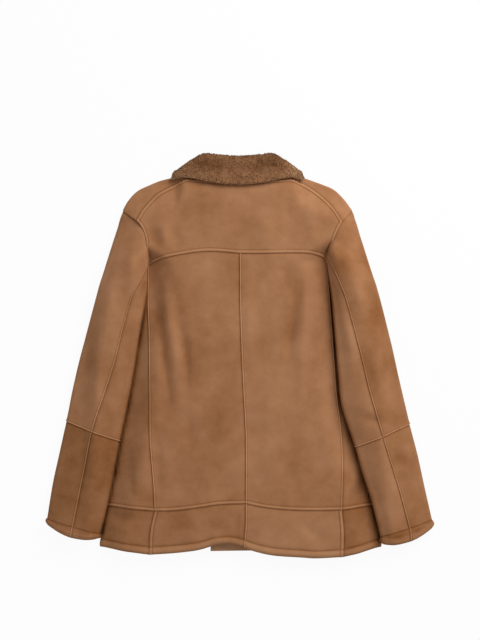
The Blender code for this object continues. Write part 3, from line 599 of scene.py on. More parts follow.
# %% Folds of the body and the sleeves
FOLDS = {
    "body": [
        # height, half width, course
        (-0.0050, 0.015, [(-0.176, 0.168), (-0.166, 0.100), (-0.156, 0.030), (-0.143, -0.120)]),
        (-0.0042, 0.013, [(-0.138, 0.160), (-0.120, 0.060), (-0.105, -0.005), (-0.104, -0.082)]),
        (-0.0034, 0.0065, [(-0.160, 0.070), (-0.153, 0.010), (-0.147, -0.050), (-0.139, -0.095)]),
        (-0.0030, 0.0060, [(-0.118, 0.052), (-0.109, 0.010), (-0.105, -0.030), (-0.103, -0.075)]),
        (-0.0026, 0.0060, [(0.115, 0.120), (0.107, 0.070), (0.103, 0.020), (0.099, -0.020)]),
        (0.0034, 0.012, [(-0.152, 0.150), (-0.139, 0.060), (-0.126, -0.010), (-0.122, -0.100)]),
        (-0.0024, 0.013, [(-0.104, -0.120), (-0.098, -0.154), (-0.096, -0.190)]),
        (-0.0030, 0.010, [(-0.163, -0.160), (-0.164, -0.230), (-0.160, -0.290)]),
        (-0.0050, 0.014, [(-0.180, 0.262), (-0.171, 0.236), (-0.160, 0.212)]),
        (0.0022, 0.009, [(-0.155, 0.262), (-0.150, 0.240), (-0.146, 0.214)]),
        (-0.0028, 0.012, [(-0.136, 0.258), (-0.128, 0.238), (-0.118, 0.222)]),
        (-0.0030, 0.018, [(-0.120, 0.330), (-0.126, 0.290), (-0.120, 0.250)]),
        (0.0022, 0.016, [(-0.070, 0.150), (-0.060, 0.050), (-0.060, -0.060)]),
        (-0.0022, 0.020, [(-0.045, -0.060), (-0.050, -0.140), (-0.044, -0.230)]),
        (-0.0050, 0.015, [(0.122, 0.160), (0.112, 0.090), (0.103, 0.040), (0.096, -0.040)]),
        (-0.0026, 0.012, [(0.094, 0.196), (0.094, 0.172), (0.098, 0.140)]),
        (0.0030, 0.012, [(0.140, 0.170), (0.132, 0.080), (0.128, 0.000), (0.132, -0.080)]),
        (-0.0046, 0.017, [(0.158, 0.080), (0.151, -0.010), (0.150, -0.080), (0.158, -0.150)]),
        (0.0026, 0.011, [(0.017, 0.185), (0.018, 0.130), (0.021, 0.050), (0.026, -0.040)]),
        (0.0026, 0.020, [(0.050, 0.300), (0.053, 0.250), (0.060, 0.215)]),
        (0.0028, 0.016, [(0.150, 0.300), (0.150, 0.250), (0.140, 0.215)]),
        (-0.0026, 0.014, [(0.100, 0.320), (0.104, 0.260), (0.100, 0.222)]),
        (0.0024, 0.018, [(0.070, -0.060), (0.064, -0.150), (0.060, -0.240)]),
        (-0.0022, 0.016, [(0.110, -0.160), (0.106, -0.230), (0.112, -0.290)]),
        (-0.0036, 0.011, [(-0.262, -0.328), (-0.236, -0.332), (-0.205, -0.328)]),
        (-0.0026, 0.006, [(-0.005, -0.316), (-0.004, -0.338), (-0.006, -0.362)]),
        (-0.0052, 0.015, [(0.266, -0.236), (0.252, -0.264), (0.236, -0.296)]),
        (0.0028, 0.012, [(0.240, -0.220), (0.232, -0.250), (0.226, -0.290)]),
        (-0.0024, 0.010, [(-0.215, -0.200), (-0.222, -0.240), (-0.214, -0.290)]),
        (0.0022, 0.007, [(-0.046, -0.366), (-0.040, -0.384)]),
        (0.0022, 0.006, [(-0.030, -0.364), (-0.026, -0.382)]),
        (0.0020, 0.006, [(-0.015, -0.366), (-0.012, -0.384)]),
        (-0.0020, 0.010, [(0.130, -0.340), (0.150, -0.362), (0.172, -0.372)]),
        (-0.0018, 0.009, [(-0.120, -0.336), (-0.104, -0.352), (-0.080, -0.360)]),
    ],
    "sleeve": [
        (-0.0052, 0.015, [(0.207, 0.224), (0.209, 0.195), (0.216, 0.160)]),
        (0.0040, 0.014, [(0.232, 0.170), (0.241, 0.121), (0.246, 0.060)]),
        (-0.0030, 0.014, [(0.262, 0.180), (0.270, 0.120), (0.276, 0.050)]),
        (0.0034, 0.010, [(0.206, 0.110), (0.212, 0.070), (0.226, 0.010), (0.228, -0.040)]),
        (-0.0026, 0.012, [(0.246, 0.020), (0.262, -0.040), (0.270, -0.100)]),
        (-0.0030, 0.010, [(0.240, -0.120), (0.268, -0.132), (0.300, -0.136)]),
        (-0.0030, 0.011, [(0.300, -0.196), (0.326, -0.214), (0.350, -0.220)]),
        (0.0026, 0.012, [(0.306, -0.230), (0.322, -0.280), (0.330, -0.320)]),
        (-0.0024, 0.012, [(0.344, -0.250), (0.356, -0.290), (0.364, -0.330)]),
        (0.0024, 0.014, [(0.280, -0.020), (0.300, -0.080), (0.318, -0.130)]),
        (-0.0046, 0.014, [(-0.192, 0.214), (-0.193, 0.192), (-0.200, 0.160)]),
        (0.0034, 0.013, [(-0.216, 0.210), (-0.212, 0.170), (-0.212, 0.120)]),
        (-0.0044, 0.015, [(-0.228, 0.160), (-0.232, 0.121), (-0.240, 0.060)]),
        (0.0034, 0.014, [(-0.256, 0.170), (-0.262, 0.110), (-0.274, 0.040)]),
        (-0.0026, 0.012, [(-0.250, 0.020), (-0.268, -0.050), (-0.276, -0.110)]),
        (-0.0026, 0.013, [(-0.300, 0.020), (-0.316, -0.050), (-0.330, -0.120)]),
        (0.0026, 0.012, [(-0.226, -0.020), (-0.240, -0.080), (-0.256, -0.130)]),
        (-0.0030, 0.011, [(-0.262, -0.150), (-0.290, -0.172), (-0.320, -0.180)]),
        (-0.0028, 0.011, [(-0.330, -0.200), (-0.346, -0.240), (-0.366, -0.270)]),
        (0.0026, 0.012, [(-0.290, -0.230), (-0.306, -0.280), (-0.318, -0.320)]),
        (-0.0024, 0.010, [(-0.338, -0.290), (-0.352, -0.316), (-0.360, -0.330)]),
    ],
}
print("folds:", {where: len(rows) for where, rows in FOLDS.items()})

# %% Height of the folds and of the unevenness between them
FOLD_END = 0.25              # share of a fold's height that is left at its ends
FAR = 1.0                    # further than any fold reaches
UNEVEN = 0.0011              # skin never lies quite flat between the folds
UNEVEN_LENGTH = 0.075
PUCKER = 0.00045             # sewing draws the skin up along a seam
PUCKER_LENGTH = 0.013
PUCKER_REACH = 0.020


def runs_along(points, axis=0):
    """Distance from the first point to each one, along one axis of an array of points."""
    steps = np.linalg.norm(np.diff(points, axis=axis), axis=-1)
    start_row = np.zeros_like(np.take(steps, [0], axis=axis))
    return np.concatenate([start_row, steps.cumsum(axis=axis)], axis=axis)


def fold_height(where, spots):
    """How far the folds move the upper layer at each of the spots, an array of (x, y)."""
    total = np.zeros(len(spots))
    for height, half, course in FOLDS[where]:
        marks = np.array(course)
        runs = runs_along(marks)
        nearest = np.full(len(spots), FAR)
        share = np.zeros(len(spots))
        for a, b, run in zip(marks, marks[1:], runs):
            along = np.clip((spots - a) @ (b - a) / ((b - a) @ (b - a)), 0, 1)
            away = np.linalg.norm(spots - (a + along[:, None] * (b - a)), axis=1)
            closer = away < nearest
            nearest = np.where(closer, away, nearest)
            share = np.where(closer, (run + along * np.linalg.norm(b - a)) / runs[-1], share)
        fade = mix(FOLD_END, 1.0, np.sin(np.pi * share))
        total += height * fade * np.exp(-(nearest / half) ** 2)
    return total


def unevenness(points, length):
    """Smooth noise from about -1 to 1 at each point, with swells of the given length."""
    return np.array([noise.noise(Vector(p) / length) for p in points])


print("first fold's height at its start:", fold_height("body", np.array([FOLDS["body"][0][2][0]])))

# %% [markdown]
# ## Seams and edges
# Heavy hide isn't turned inside a seam. One piece laps over the next by about 7 mm and is stitched down,
# which gives a raised welt with a step on one side and a stitch line on the other. The hem and the cuffs
# are turned up by 16 mm and stitched. Each kind is a profile: distance in from the border, height of the
# hide there, and wear with painted light and shade. The crest is paler, as rubbed wear and as painted
# highlight, and it is darker down in the step and in the stitch line as painted shade. The stitch line's
# own distance is in STITCH_AT.

# %% Profiles of seams and edges
HAIR = 0.00002               # pieces stop this short of the seam line that they share
PROFILES = {
    # distance in, height, wear with painted light and shade
    "over": [(0.0, -0.0004, -0.12), (0.0005, 0.0004, 0.0), (0.0013, 0.0012, 0.09),
             (0.0030, 0.0015, 0.13), (0.0050, 0.0011, 0.06), (0.0062, 0.0004, -0.05),
             (0.0068, -0.0001, -0.14), (0.0076, 0.0001, -0.08), (0.0095, 0.0004, 0.0), (0.0140, 0.0, 0.0)],
    "ridge": [(0.0, -0.0003, -0.06), (0.0004, 0.0005, 0.06), (0.0012, 0.0014, 0.26),
              (0.0024, 0.0011, 0.22), (0.0033, 0.0002, -0.06), (0.0041, 0.0003, -0.05),
              (0.0060, 0.0002, 0.0), (0.0100, 0.0, 0.0)],
    "under": [(0.0, -0.0008, -0.16), (0.0009, -0.0008, -0.15), (0.0020, -0.0005, -0.09),
              (0.0040, -0.0002, -0.02), (0.0080, 0.0, 0.0)],
    "turned": [(0.0, -0.0036, -0.20), (0.0006, -0.0016, -0.08), (0.0016, -0.0002, 0.0),
               (0.0035, 0.0012, 0.07), (0.0070, 0.0023, 0.12), (0.0110, 0.0019, 0.07),
               (0.0145, 0.0005, -0.04), (0.0160, -0.0005, -0.16), (0.0175, 0.0, -0.08),
               (0.0215, 0.0007, 0.0), (0.0300, 0.0, 0.0)],
    "plain": [(0.0, -0.0006, -0.10), (0.0006, -0.0001, 0.0), (0.0020, 0.0, 0.0)],
}
STITCH_AT = {"over": 0.0068, "ridge": 0.0033, "turned": 0.0160}
MOST_BORDER = 0.45           # share of a narrow piece that one border may take


def profile(kind, distances):
    """Height, and wear with painted light and shade, at each distance from a border of that kind."""
    marks, heights, wears_and_painted_shades = zip(*PROFILES[kind])
    return np.interp(distances, marks, heights), np.interp(distances, marks, wears_and_painted_shades)


def stops(length, first, last, step):
    """Marks across a piece as (distance, share of its length): close at both borders, even between."""
    near = [max(mark[0], HAIR) for mark in PROFILES[first]]
    far = [max(mark[0], HAIR) for mark in PROFILES[last]]
    room = length - near[-1] - far[-1]
    if room < step:
        squeeze = min(MOST_BORDER * length / max(near[-1], far[-1]), 1.0)
        near = [near[0]] + [mark * squeeze for mark in near[1:]]
        far = [far[0]] + [mark * squeeze for mark in far[1:]]
        room = length - near[-1] - far[-1]
    count = max(1, round(room / step))
    between = [(near[-1] * (1 - i / count) - far[-1] * i / count, i / count) for i in range(1, count)]
    return [(mark, 0.0) for mark in near] + between + [(-mark, 1.0) for mark in far[::-1]]


print("marks across a 200 mm piece:", len(stops(0.200, "over", "under", 0.005)))
print("height and wear 3 mm in from a lapped seam:", profile("over", 0.003))

# %% [markdown]
# ## One piece of hide
# A cutter lays the pattern on a skin, and here a flat grid stands for it. `hide` draws the grid close
# together along the borders, extrudes it by one layer for the thickness and carries each corner onto the
# garment with the piece's own place function, as the frame does. The outer layer then takes its folds,
# its welts, and its wear with painted light and shade, and the inner layer is wool. Corners of the outer
# layer on a seam's stitch line are kept, so that the thread can be sewn along them later.

# %% What a piece is cut to
SHEETS = {}                  # the visual sheet of each of the frame's nodes
SEWN = []                    # lines of corners and normals along which each piece is sewn


def flat_size(points):
    """Widest, longest and area of a sheet given as a grid of points, as its maker would cut it."""
    across = np.linalg.norm(np.diff(points, axis=0), axis=2).sum(axis=0).max()
    along = np.linalg.norm(np.diff(points, axis=1), axis=2).sum(axis=1).max()
    diagonals = np.cross(points[1:, 1:] - points[:-1, :-1], points[:-1, 1:] - points[1:, :-1])
    return across, along, 0.5 * np.linalg.norm(diagonals, axis=2).sum()

# %% Where the corners of a piece's grid lie
GRID_STEP = 0.0052
READINGS = 4                 # readings of the surface to one column or row of the frame's grid
TINY = 1e-9


def measured_spots(place, size, kinds):
    """Columns and rows for a grid whose marks lie at true distances from the borders of a piece."""
    columns, rows = size
    fine_columns = np.linspace(0, columns, columns * READINGS + 1)
    fine_rows = np.linspace(0, rows, rows * READINGS + 1)
    net = np.array([[place(c, r, 0) for c in fine_columns] for r in fine_rows])
    across = runs_along(net, axis=1)
    along = runs_along(net, axis=0)
    column_marks = stops(across[:, -1].mean(), kinds[0], kinds[1], GRID_STEP)
    row_marks = stops(along[-1].mean(), kinds[2], kinds[3], GRID_STEP)
    middle = along[:, along.shape[1] // 2]
    spots = np.zeros((len(column_marks), len(row_marks), 2))
    for j, (mark, share) in enumerate(row_marks):
        row = np.interp(mark + share * middle[-1], middle, fine_rows)
        lower = min(int(row * READINGS), len(fine_rows) - 2)
        runs = mix(across[lower], across[lower + 1], row * READINGS - lower)
        wanted = [mark_c + share_c * runs[-1] for mark_c, share_c in column_marks]
        spots[:, j, 0] = np.interp(wanted, runs, fine_columns)
    for i in range(len(column_marks)):
        column = spots[i, :, 0].mean()
        left = min(int(column * READINGS), len(fine_columns) - 2)
        runs = mix(along[:, left], along[:, left + 1], column * READINGS - left)
        spots[i, :, 1] = np.interp([mark + share * runs[-1] for mark, share in row_marks], runs, fine_rows)
    return spots, column_marks, row_marks


def even_spots(size, steps):
    """Columns and rows at equal shares, for a piece whose borders are hidden."""
    columns = np.linspace(0, size[0], size[0] * steps + 1)
    rows = np.linspace(0, size[1], size[1] * steps + 1)
    return np.stack(np.meshgrid(columns, rows, indexing="ij"), axis=2)


def both_layers(place, spots):
    """The outer and the inner layer's points at each spot."""
    return [np.array([[place(c, r, layer) for c, r in line_of] for line_of in spots]) for layer in (0, 1)]


def surface_normals(points):
    """Unit normals of a grid of points, by the cross product of its two directions."""
    normals = np.cross(np.gradient(points, axis=0), np.gradient(points, axis=1))
    return normals / np.maximum(np.linalg.norm(normals, axis=2, keepdims=True), TINY)


print("spots of a grid of 2 by 3, halved:", even_spots((2, 3), 2).shape[:2])

# %% Painted shadow beside the sleeves
SLEEVE_SHADOW_REACH = 0.0055       # painted shadow reaches this far out from under a sleeve
# darkness of that painted shadow at its strongest
SLEEVE_SHADOW_DARKNESS = 0.42
SLEEVE_SHADOW_TOP = 0.15           # and from this height up the page downwards
SLEEVES_FROM = 0.12          # no sleeve comes nearer to the middle than this
ARMHOLE_SECTIONS = 2         # a sleeve's first sections leave the body's edge and cast no painted shadow
SIDEWAYS = 0.8               # a sleeve's surface that looks up this much isn't in its inner fold


def painted_sleeve_shadow(where, points, normals):
    """Painted shadow: how much darker the hide is painted beside a sleeve's inner edge, where the sleeve
    shades the body, and inside the sleeve's inner fold.
    """
    shade = np.zeros(len(points))
    for side, rows in SLEEVE.items():
        marks = np.array([(row[2], row[3]) for row in rows[ARMHOLE_SECTIONS:]])
        on_side = points[:, 0] * SIGN[side] > SLEEVES_FROM
        inner_x = np.interp(-points[:, 1], -marks[:, 1], np.abs(marks[:, 0]))
        away = np.abs(np.abs(points[:, 0]) - inner_x)
        near = np.exp(-(away / SLEEVE_SHADOW_REACH) ** 2) * on_side * (points[:, 1] < SLEEVE_SHADOW_TOP)
        near *= points[:, 1] > marks[-1, 1]
        if where == "sleeve":
            near *= 1 - np.clip(normals.reshape(-1, 3)[:, 2] / SIDEWAYS, 0, 1)
        shade += near
    return SLEEVE_SHADOW_DARKNESS * shade.reshape(normals.shape[:2])


beside_sleeve = np.array([[SLEEVE["left"][5][2], SLEEVE["left"][5][3], 0.0]])
print("shade beside the left sleeve:", painted_sleeve_shadow("body", beside_sleeve, np.array([[[0.0, 0.0, 1.0]]])).round(2))

# %% Relief, wear and painted shade of a piece
PLAIN_WEAR = 0.5
UPPER_FROM = 0.15            # folds start on surfaces that look up more than this
UPPER_RUN = 0.55             # and are whole on ones that look up this much more
FOLD_PAINTED_SHADE = 14               # painted shade to a metre of fold: darker in troughs, paler on ridges
LEAST_FOLD_PAINTED_SHADE, MOST_FOLD_PAINTED_SHADE = -0.11, 0.08
UNDERNEATH = -0.2            # no welt stands out of surfaces that look down more than this
STEEP = 0.3                  # on surfaces that look up more than this, welts rise nearly straight up
LEAN = 0.15


def strongest(layers):
    """The highest of the heights plus the deepest of the depths of several layers."""
    return np.maximum(0, np.max(layers, axis=0)) + np.minimum(0, np.min(layers, axis=0))


def relieve(outer, inner, kinds, where, tone_and_painted_shade):
    """Adds folds, unevenness, welts and pucker to both layers; returns them, the normals and the outer
    layer's wear with painted light and shade.
    """
    normals = surface_normals(outer)
    facing = ((outer - inner) * normals).sum(axis=2)
    normals *= np.where(facing < 0, -1.0, 1.0)[:, :, None]
    across, along = runs_along(outer, axis=0), runs_along(outer, axis=1)
    distances = [across, across[-1:] - across, along, along[:, -1:] - along]
    heights, wears_and_painted_shades = zip(*[profile(kind, away) for kind, away in zip(kinds, distances)])
    # the seams' wear: paler crests as rubbed wear and painted highlight, darker steps and stitch lines as
    # painted shade
    welt, seam_wear_and_painted_shade = strongest(heights), strongest(wears_and_painted_shades)
    near_seam = np.clip(1 - np.min(distances, axis=0) / PUCKER_REACH, 0, 1)
    flat_list = outer.reshape(-1, 3)
    pucker = unevenness(flat_list, PUCKER_LENGTH).reshape(seam_wear_and_painted_shade.shape) * PUCKER * near_seam
    upper = np.clip((normals[:, :, 2] - UPPER_FROM) / UPPER_RUN, 0, 1)
    folds = fold_height(where, flat_list[:, :2]).reshape(seam_wear_and_painted_shade.shape) * upper
    swell = unevenness(flat_list, UNEVEN_LENGTH).reshape(seam_wear_and_painted_shade.shape) * UNEVEN * upper
    moved = folds + swell
    push = welt + pucker
    push = np.where(normals[:, :, 2] < UNDERNEATH, np.minimum(push, 0.0), push)
    upright = normals.copy()
    upright[:, :, :2] *= np.where(normals[:, :, 2:] > STEEP, LEAN, 1.0)
    upright /= np.linalg.norm(upright, axis=2, keepdims=True)
    new_outer = outer + upright * push[:, :, None]
    new_outer[:, :, 2] += moved
    new_inner = inner.copy()
    new_inner[:, :, 2] += moved
    # painted shade in the folds' troughs and painted light on their ridges, added to the seams' and the
    # sleeves' painted shade
    fold_painted_shade = np.clip(folds * FOLD_PAINTED_SHADE, LEAST_FOLD_PAINTED_SHADE, MOST_FOLD_PAINTED_SHADE)
    wear_and_painted_shade = PLAIN_WEAR + tone_and_painted_shade + seam_wear_and_painted_shade + fold_painted_shade - painted_sleeve_shadow(where, flat_list, normals)
    return new_outer, new_inner, normals, wear_and_painted_shade


square = np.array([[(x, y, BODY_HEIGHT) for y in (0.0, 0.01)] for x in (0.0, 0.01)])
square_below = square - np.array([0, 0, WALL])
print("wear of a plain 10 mm square:", relieve(square, square_below, ["plain"] * 4, "body", 0.0)[3].round(2))

# %% Making the mesh of a piece
MERGE = 0.01                 # corners closer than this share of a grid's step are one


def grid_mesh(counts, blocks):
    """A closed slab of whole-numbered grid corners: z is 0 for the outer layer and 1 for the inner one."""
    made = bmesh.new()
    for first_column, last_column, first_row, last_row in blocks or [(0, counts[0], 0, counts[1])]:
        columns, rows = last_column - first_column, last_row - first_row
        grid = bmesh.ops.create_grid(made, x_segments=columns, y_segments=rows, size=0.5)
        bmesh.ops.scale(made, vec=(columns, rows, 1), verts=grid["verts"])
        middle = ((first_column + last_column) / 2, (first_row + last_row) / 2, 0)
        bmesh.ops.translate(made, vec=middle, verts=grid["verts"])
    bmesh.ops.remove_doubles(made, verts=made.verts, dist=MERGE)
    raised = bmesh.ops.extrude_face_region(made, geom=made.faces[:], use_keep_orig=True)
    for corner in raised["geom"]:
        if isinstance(corner, bmesh.types.BMVert):
            corner.co.z = 1
    bmesh.ops.recalc_face_normals(made, faces=made.faces)
    return made


def to_mesh(made, name, smooth=True):
    """Turns a finished bmesh into a mesh of that name."""
    for face in made.faces:
        face.smooth = smooth
    mesh = bpy.data.meshes.new(name)
    made.to_mesh(mesh)
    made.free()
    return mesh


def to_piece(mesh, name, *finishes):
    """An object of that name for a mesh, with its finishes, in the scene."""
    for finish in finishes:
        mesh.materials.append(finish)
    piece = bpy.data.objects.new(name, mesh)
    bpy.context.scene.collection.objects.link(piece)
    return piece


slab = grid_mesh((2, 3), None)
print("a slab of 2 by 3 has", len(slab.verts), "corners and", len(slab.faces), "faces")
slab.free()

# %% Laying hide on the garment
LINING_PAINTED_SHADE = 0.45           # painted shade on the wool inside, which lies in shadow
FACING_PAINTED_LIGHT = 0.82           # painted light on the suede facing behind the front hems, which lies in the back hem's shadow; the collar's suede side takes it too
CREASE = math.radians(50)    # a sharper bend than this shows as an edge


def put_wear_and_painted_shade(mesh, values):
    """Stores wear and painted shade from 0 to 1 at each corner of a mesh, as a grey colour."""
    store = mesh.color_attributes.new("wear_and_painted_shade", "FLOAT_COLOR", "POINT")
    greys = np.repeat(np.clip(values, 0, 1)[:, None], 4, axis=1)
    greys[:, 3] = 1.0
    store.data.foreach_set("color", greys.ravel())


def lay_hide(name, outer, inner, wear_and_painted_shade, blocks=None, lining=LINING, skin=SUEDE):
    """The mesh object of a piece whose two layers are given as grids of points. The floor flattens it."""
    made = grid_mesh((outer.shape[0] - 1, outer.shape[1] - 1), blocks)
    layers = (outer, inner)
    # the inner layer takes one level: painted shade for wool, painted light for a suede facing
    inside = FACING_PAINTED_LIGHT if lining == SUEDE else LINING_PAINTED_SHADE
    values = []
    for face in made.faces:
        face.material_index = 1 if all(corner.co.z > 0.5 for corner in face.verts) else 0
    for corner in made.verts:
        i, j, layer = (round(value) for value in corner.co)
        corner.co = layers[layer][i, j]
        corner.co.z = max(corner.co.z, 0.0)
        values.append(wear_and_painted_shade[i, j] if layer == 0 else inside)
    if made.calc_volume(signed=True) < 0:
        bmesh.ops.reverse_faces(made, faces=made.faces)
    mesh = to_mesh(made, name)
    put_wear_and_painted_shade(mesh, np.array(values))
    mesh.set_sharp_from_angle(angle=CREASE)
    return to_piece(mesh, name, skin, lining)


print("hide shows an edge where it bends by more than", round(math.degrees(CREASE)), "degrees")

# %% A piece of hide from its place function
def remember_stitches(name, kinds, marks, outer, normals):
    """Keeps the lines of corners where a piece's welts are sewn."""
    for border, kind in enumerate(kinds):
        if kind not in STITCH_AT:
            continue
        stops_there = marks[border // 2]
        wanted = (STITCH_AT[kind], 0.0) if border % 2 == 0 else (-STITCH_AT[kind], 1.0)
        gaps = [abs(mark - wanted[0]) + abs(share - wanted[1]) for mark, share in stops_there]
        index = gaps.index(min(gaps))
        if border < 2:
            SEWN.append((name, outer[index], normals[index]))
        else:
            SEWN.append((name, outer[:, index], normals[:, index]))


def cover(name, layers, kinds, where, blocks=None, lining=LINING):
    """Works the relief into a piece's layers and lays it; returns its outer layer and the normals."""
    outer, inner, normals, wear_and_painted_shade = relieve(*layers, kinds, where, PIECE_TONES_AND_PAINTED_SHADE.get(name, 0.0))
    SHEETS[name] = lay_hide(name + "_hide", outer, inner, wear_and_painted_shade, blocks, lining)
    print(name, "has", len(SHEETS[name].data.vertices), "corners")
    return outer, normals


def hide(name, place, size, kinds, where="body", lining=LINING):
    """A visual piece of hide. kinds are its borders: first and last column, then first and last row."""
    spots, column_marks, row_marks = measured_spots(place, size, kinds)
    layers = both_layers(place, spots)
    flat_size(layers[0])
    outer, normals = cover(name, layers, kinds, where, lining=lining)
    remember_stitches(name, kinds, (column_marks, row_marks), outer, normals)


print("borders that are stitched:", list(STITCH_AT))

# %% [markdown]
# ## Shades of the skins, and painted light and shade
# A jacket is cut from several skins that never match quite. A shade is added to the wear of each whole
# piece, partly for the skins' own tones and partly as painted shade. The side panels and hem sides, which
# lie beside the sleeves, and the lower sleeves are a little darker. The front hems are made paler as
# painted light, as they lie in the back hem's shadow.

# %% Shades of the skins, with painted light and shade
# skins' tones with painted shade; the front hems' values are painted light
PIECE_TONES_AND_PAINTED_SHADE = {
    "back_yoke": 0.01, "back_left": -0.01, "back_right": 0.0, "hem_back_left": -0.03,
    "hem_back_right": 0.04, "side_left": -0.01, "side_right": -0.04, "hem_side_left": -0.08,
    "hem_side_right": -0.12, "topsleeve_upper_left": 0.02, "topsleeve_upper_right": -0.08,
    "topsleeve_lower_left": -0.10, "topsleeve_lower_right": -0.09, "undersleeve_upper_left": -0.06,
    "undersleeve_upper_right": 0.05, "undersleeve_lower_left": -0.13, "undersleeve_lower_right": 0.02,
    "cuff_left": -0.10, "cuff_right": -0.06, "hem_front_left": 0.14, "hem_front_right": 0.18,
}
print("shades for", len(PIECE_TONES_AND_PAINTED_SHADE), "pieces")

# %% [markdown]
# ## The back
# The yoke lies over the two back panels and is stitched down 7 mm above its edge. The right back laps
# over the left in the narrow centre seam, and both backs lap over the hem band.

# %% Yoke
# Columns and rows are the frame's own, so that both can be read from the same place functions.
SHOULDER_COLUMNS = 5
NECK_COLUMNS = 6
YOKE_COLUMNS = 2 * SHOULDER_COLUMNS + NECK_COLUMNS
YOKE_ROWS = 6


def make_back_yoke():
    first, last = SHOULDER_COLUMNS / YOKE_COLUMNS, 1 - SHOULDER_COLUMNS / YOKE_COLUMNS
    north = chain([0, first, last, 1], LINES["left"]["shoulder_seam"], line(NECK_SEAM),
                  back_along(LINES["right"]["shoulder_seam"]))
    south = chain([0, 0.5, 1], LINES["left"]["yoke_seam"], back_along(LINES["right"]["yoke_seam"]))
    west = back_along(part_of(LINES["left"]["armhole"], SHOULDER_SHARE, 1))
    east = back_along(part_of(LINES["right"]["armhole"], SHOULDER_SHARE, 1))
    plan = patch(south, north, west, east)

    def place(column, row, layer):
        return back_point(plan(column / YOKE_COLUMNS, row / YOKE_ROWS), layer * WALL)
    hide("back_yoke", place, (YOKE_COLUMNS, YOKE_ROWS), ("over", "over", "over", "over"))


make_back_yoke()

# %% Back panels and hem band
BACK_COLUMNS = 8
BACK_ROWS = 10
HEM_ROWS = 2
CENTRE_KIND = {"left": "under", "right": "ridge"}


def make_back(side):
    lines = LINES[side]
    plan = patch(back_along(lines["hem_seam"]), lines["yoke_seam"],
                 back_along(lines["side_seam"]), back_along(line(CENTRE_SEAM)))

    def place(column, row, layer):
        return back_point(plan(column / BACK_COLUMNS, row / BACK_ROWS), layer * WALL)
    hide("back_" + side, place, (BACK_COLUMNS, BACK_ROWS), ("ridge", CENTRE_KIND[side], "over", "under"))


def make_hem_back(side):
    lines = LINES[side]
    plan = patch(back_along(lines["hem_edge"]), back_along(lines["hem_seam"]),
                 back_along(lines["hem_side_seam"]), back_along(line(HEM_CENTRE_SEAM)))

    def place(column, row, layer):
        return back_point(plan(column / BACK_COLUMNS, row / HEM_ROWS), layer * WALL)
    hide("hem_back_" + side, place, (BACK_COLUMNS, HEM_ROWS),
         ("over", CENTRE_KIND[side], "turned", "under"))


for each_side in ("left", "right"):
    make_back(each_side)
    make_hem_back(each_side)

# %% [markdown]
# ## The side panels
# Each side panel starts at the back's side seam, goes round the fold at the edge and ends under the
# garment at the front. The sleeve lies over it, so only a wedge shows.

# %% Side panels
SIDE_TOP_COLUMNS = 4
FOLD_STEPS = 4
SIDE_LOWER_COLUMNS = 2
SIDE_COLUMNS = SIDE_TOP_COLUMNS + FOLD_STEPS + SIDE_LOWER_COLUMNS


def side_place(side, seam, edge, lower_seam, rows):
    """Places a side piece: over the top from its back seam, round the fold and under to the front."""
    inward = Vector((-SIGN[side], 0.0))
    quarter = math.pi / 2 * RIM_RADIUS

    def place(column, row, layer):
        share = 1 - row / rows
        rim = edge(share)
        turn_in = rim + inward * RIM_RADIUS
        depth = layer * WALL
        if column < SIDE_TOP_COLUMNS:
            return back_point(seam(share).lerp(turn_in, column / SIDE_TOP_COLUMNS), depth)
        step = column - SIDE_TOP_COLUMNS
        if step <= FOLD_STEPS:
            return folded_point(rim, inward, quarter * (1 - 2 * step / FOLD_STEPS), depth)
        x, y = turn_in.lerp(lower_seam(share), (step - FOLD_STEPS) / SIDE_LOWER_COLUMNS)
        return Vector((x, y, depth))
    return place


for each_side in ("left", "right"):
    side_lines = LINES[each_side]
    hide("side_" + each_side,
         side_place(each_side, side_lines["side_seam"], side_lines["side_edge"],
                    side_lines["front_side_seam"], BACK_ROWS),
         (SIDE_COLUMNS, BACK_ROWS), ("under", "over", "over", "plain"))
    hide("hem_side_" + each_side,
         side_place(each_side, side_lines["hem_side_seam"], side_lines["hem_side_edge"],
                    side_lines["front_hem_side_seam"], HEM_ROWS),
         (SIDE_COLUMNS, HEM_ROWS), ("under", "over", "turned", "under"))

# %% [markdown]
# ## The fronts
# The fronts lie underneath. Each goes round the shoulder's fold to the seam on the back, so its grid has
# an L shape: the front itself and a strip over the shoulder. The wearer's right front comes past the
# middle and shows as a short strip below the back's hem.

# %% Fronts
FRONT_COLUMNS = 8
SIDE_SEAM_ROWS = 8
ARMHOLE_ROWS = 7
FRONT_ROWS = SIDE_SEAM_ROWS + 1 + ARMHOLE_ROWS
STRIP_ROWS = 2
UNDER_COLUMNS = 4            # of the topsleeve below, which the front meets at the armhole
FRONT_REFINE = 6             # steps of the visual grid to one of the frame's
UNDERARM_MIDDLE = 0.25       # a middle point of the underarm, as a share of the armpit's line
FRONT_EDGE = {"left": LEFT_FRONT_EDGE, "right": RIGHT_FRONT_EDGE}
FRONT_RISE = {"left": BUTTON_RISE, "right": LAP_RISE}


def front_height(side, column):
    """A front's rise over what lies below it, by the column of its grid."""
    share = (column - LAP_START) / (LAP_FULL - LAP_START)
    return FRONT_RISE[side] * ease(share)


# Columns are closer together where a front laps over the other.
COLUMN_SHARES = [(0, 0.0), (LAP_START, 0.60), (LAP_FULL, 0.70), (FRONT_COLUMNS, 1.0)]


def shoulder_fold(side, column):
    """Edge of the shoulder fold, the way in from it, and the distance to the shoulder seam."""
    share = column / SHOULDER_COLUMNS
    edge = LINES[side]["shoulder_edge"](share)
    seam = LINES[side]["shoulder_seam"](share)
    return edge, (seam - edge).normalized(), (seam - edge).length


def column_share(column):
    """Share of a front's width at one of its columns."""
    return table(COLUMN_SHARES, column)


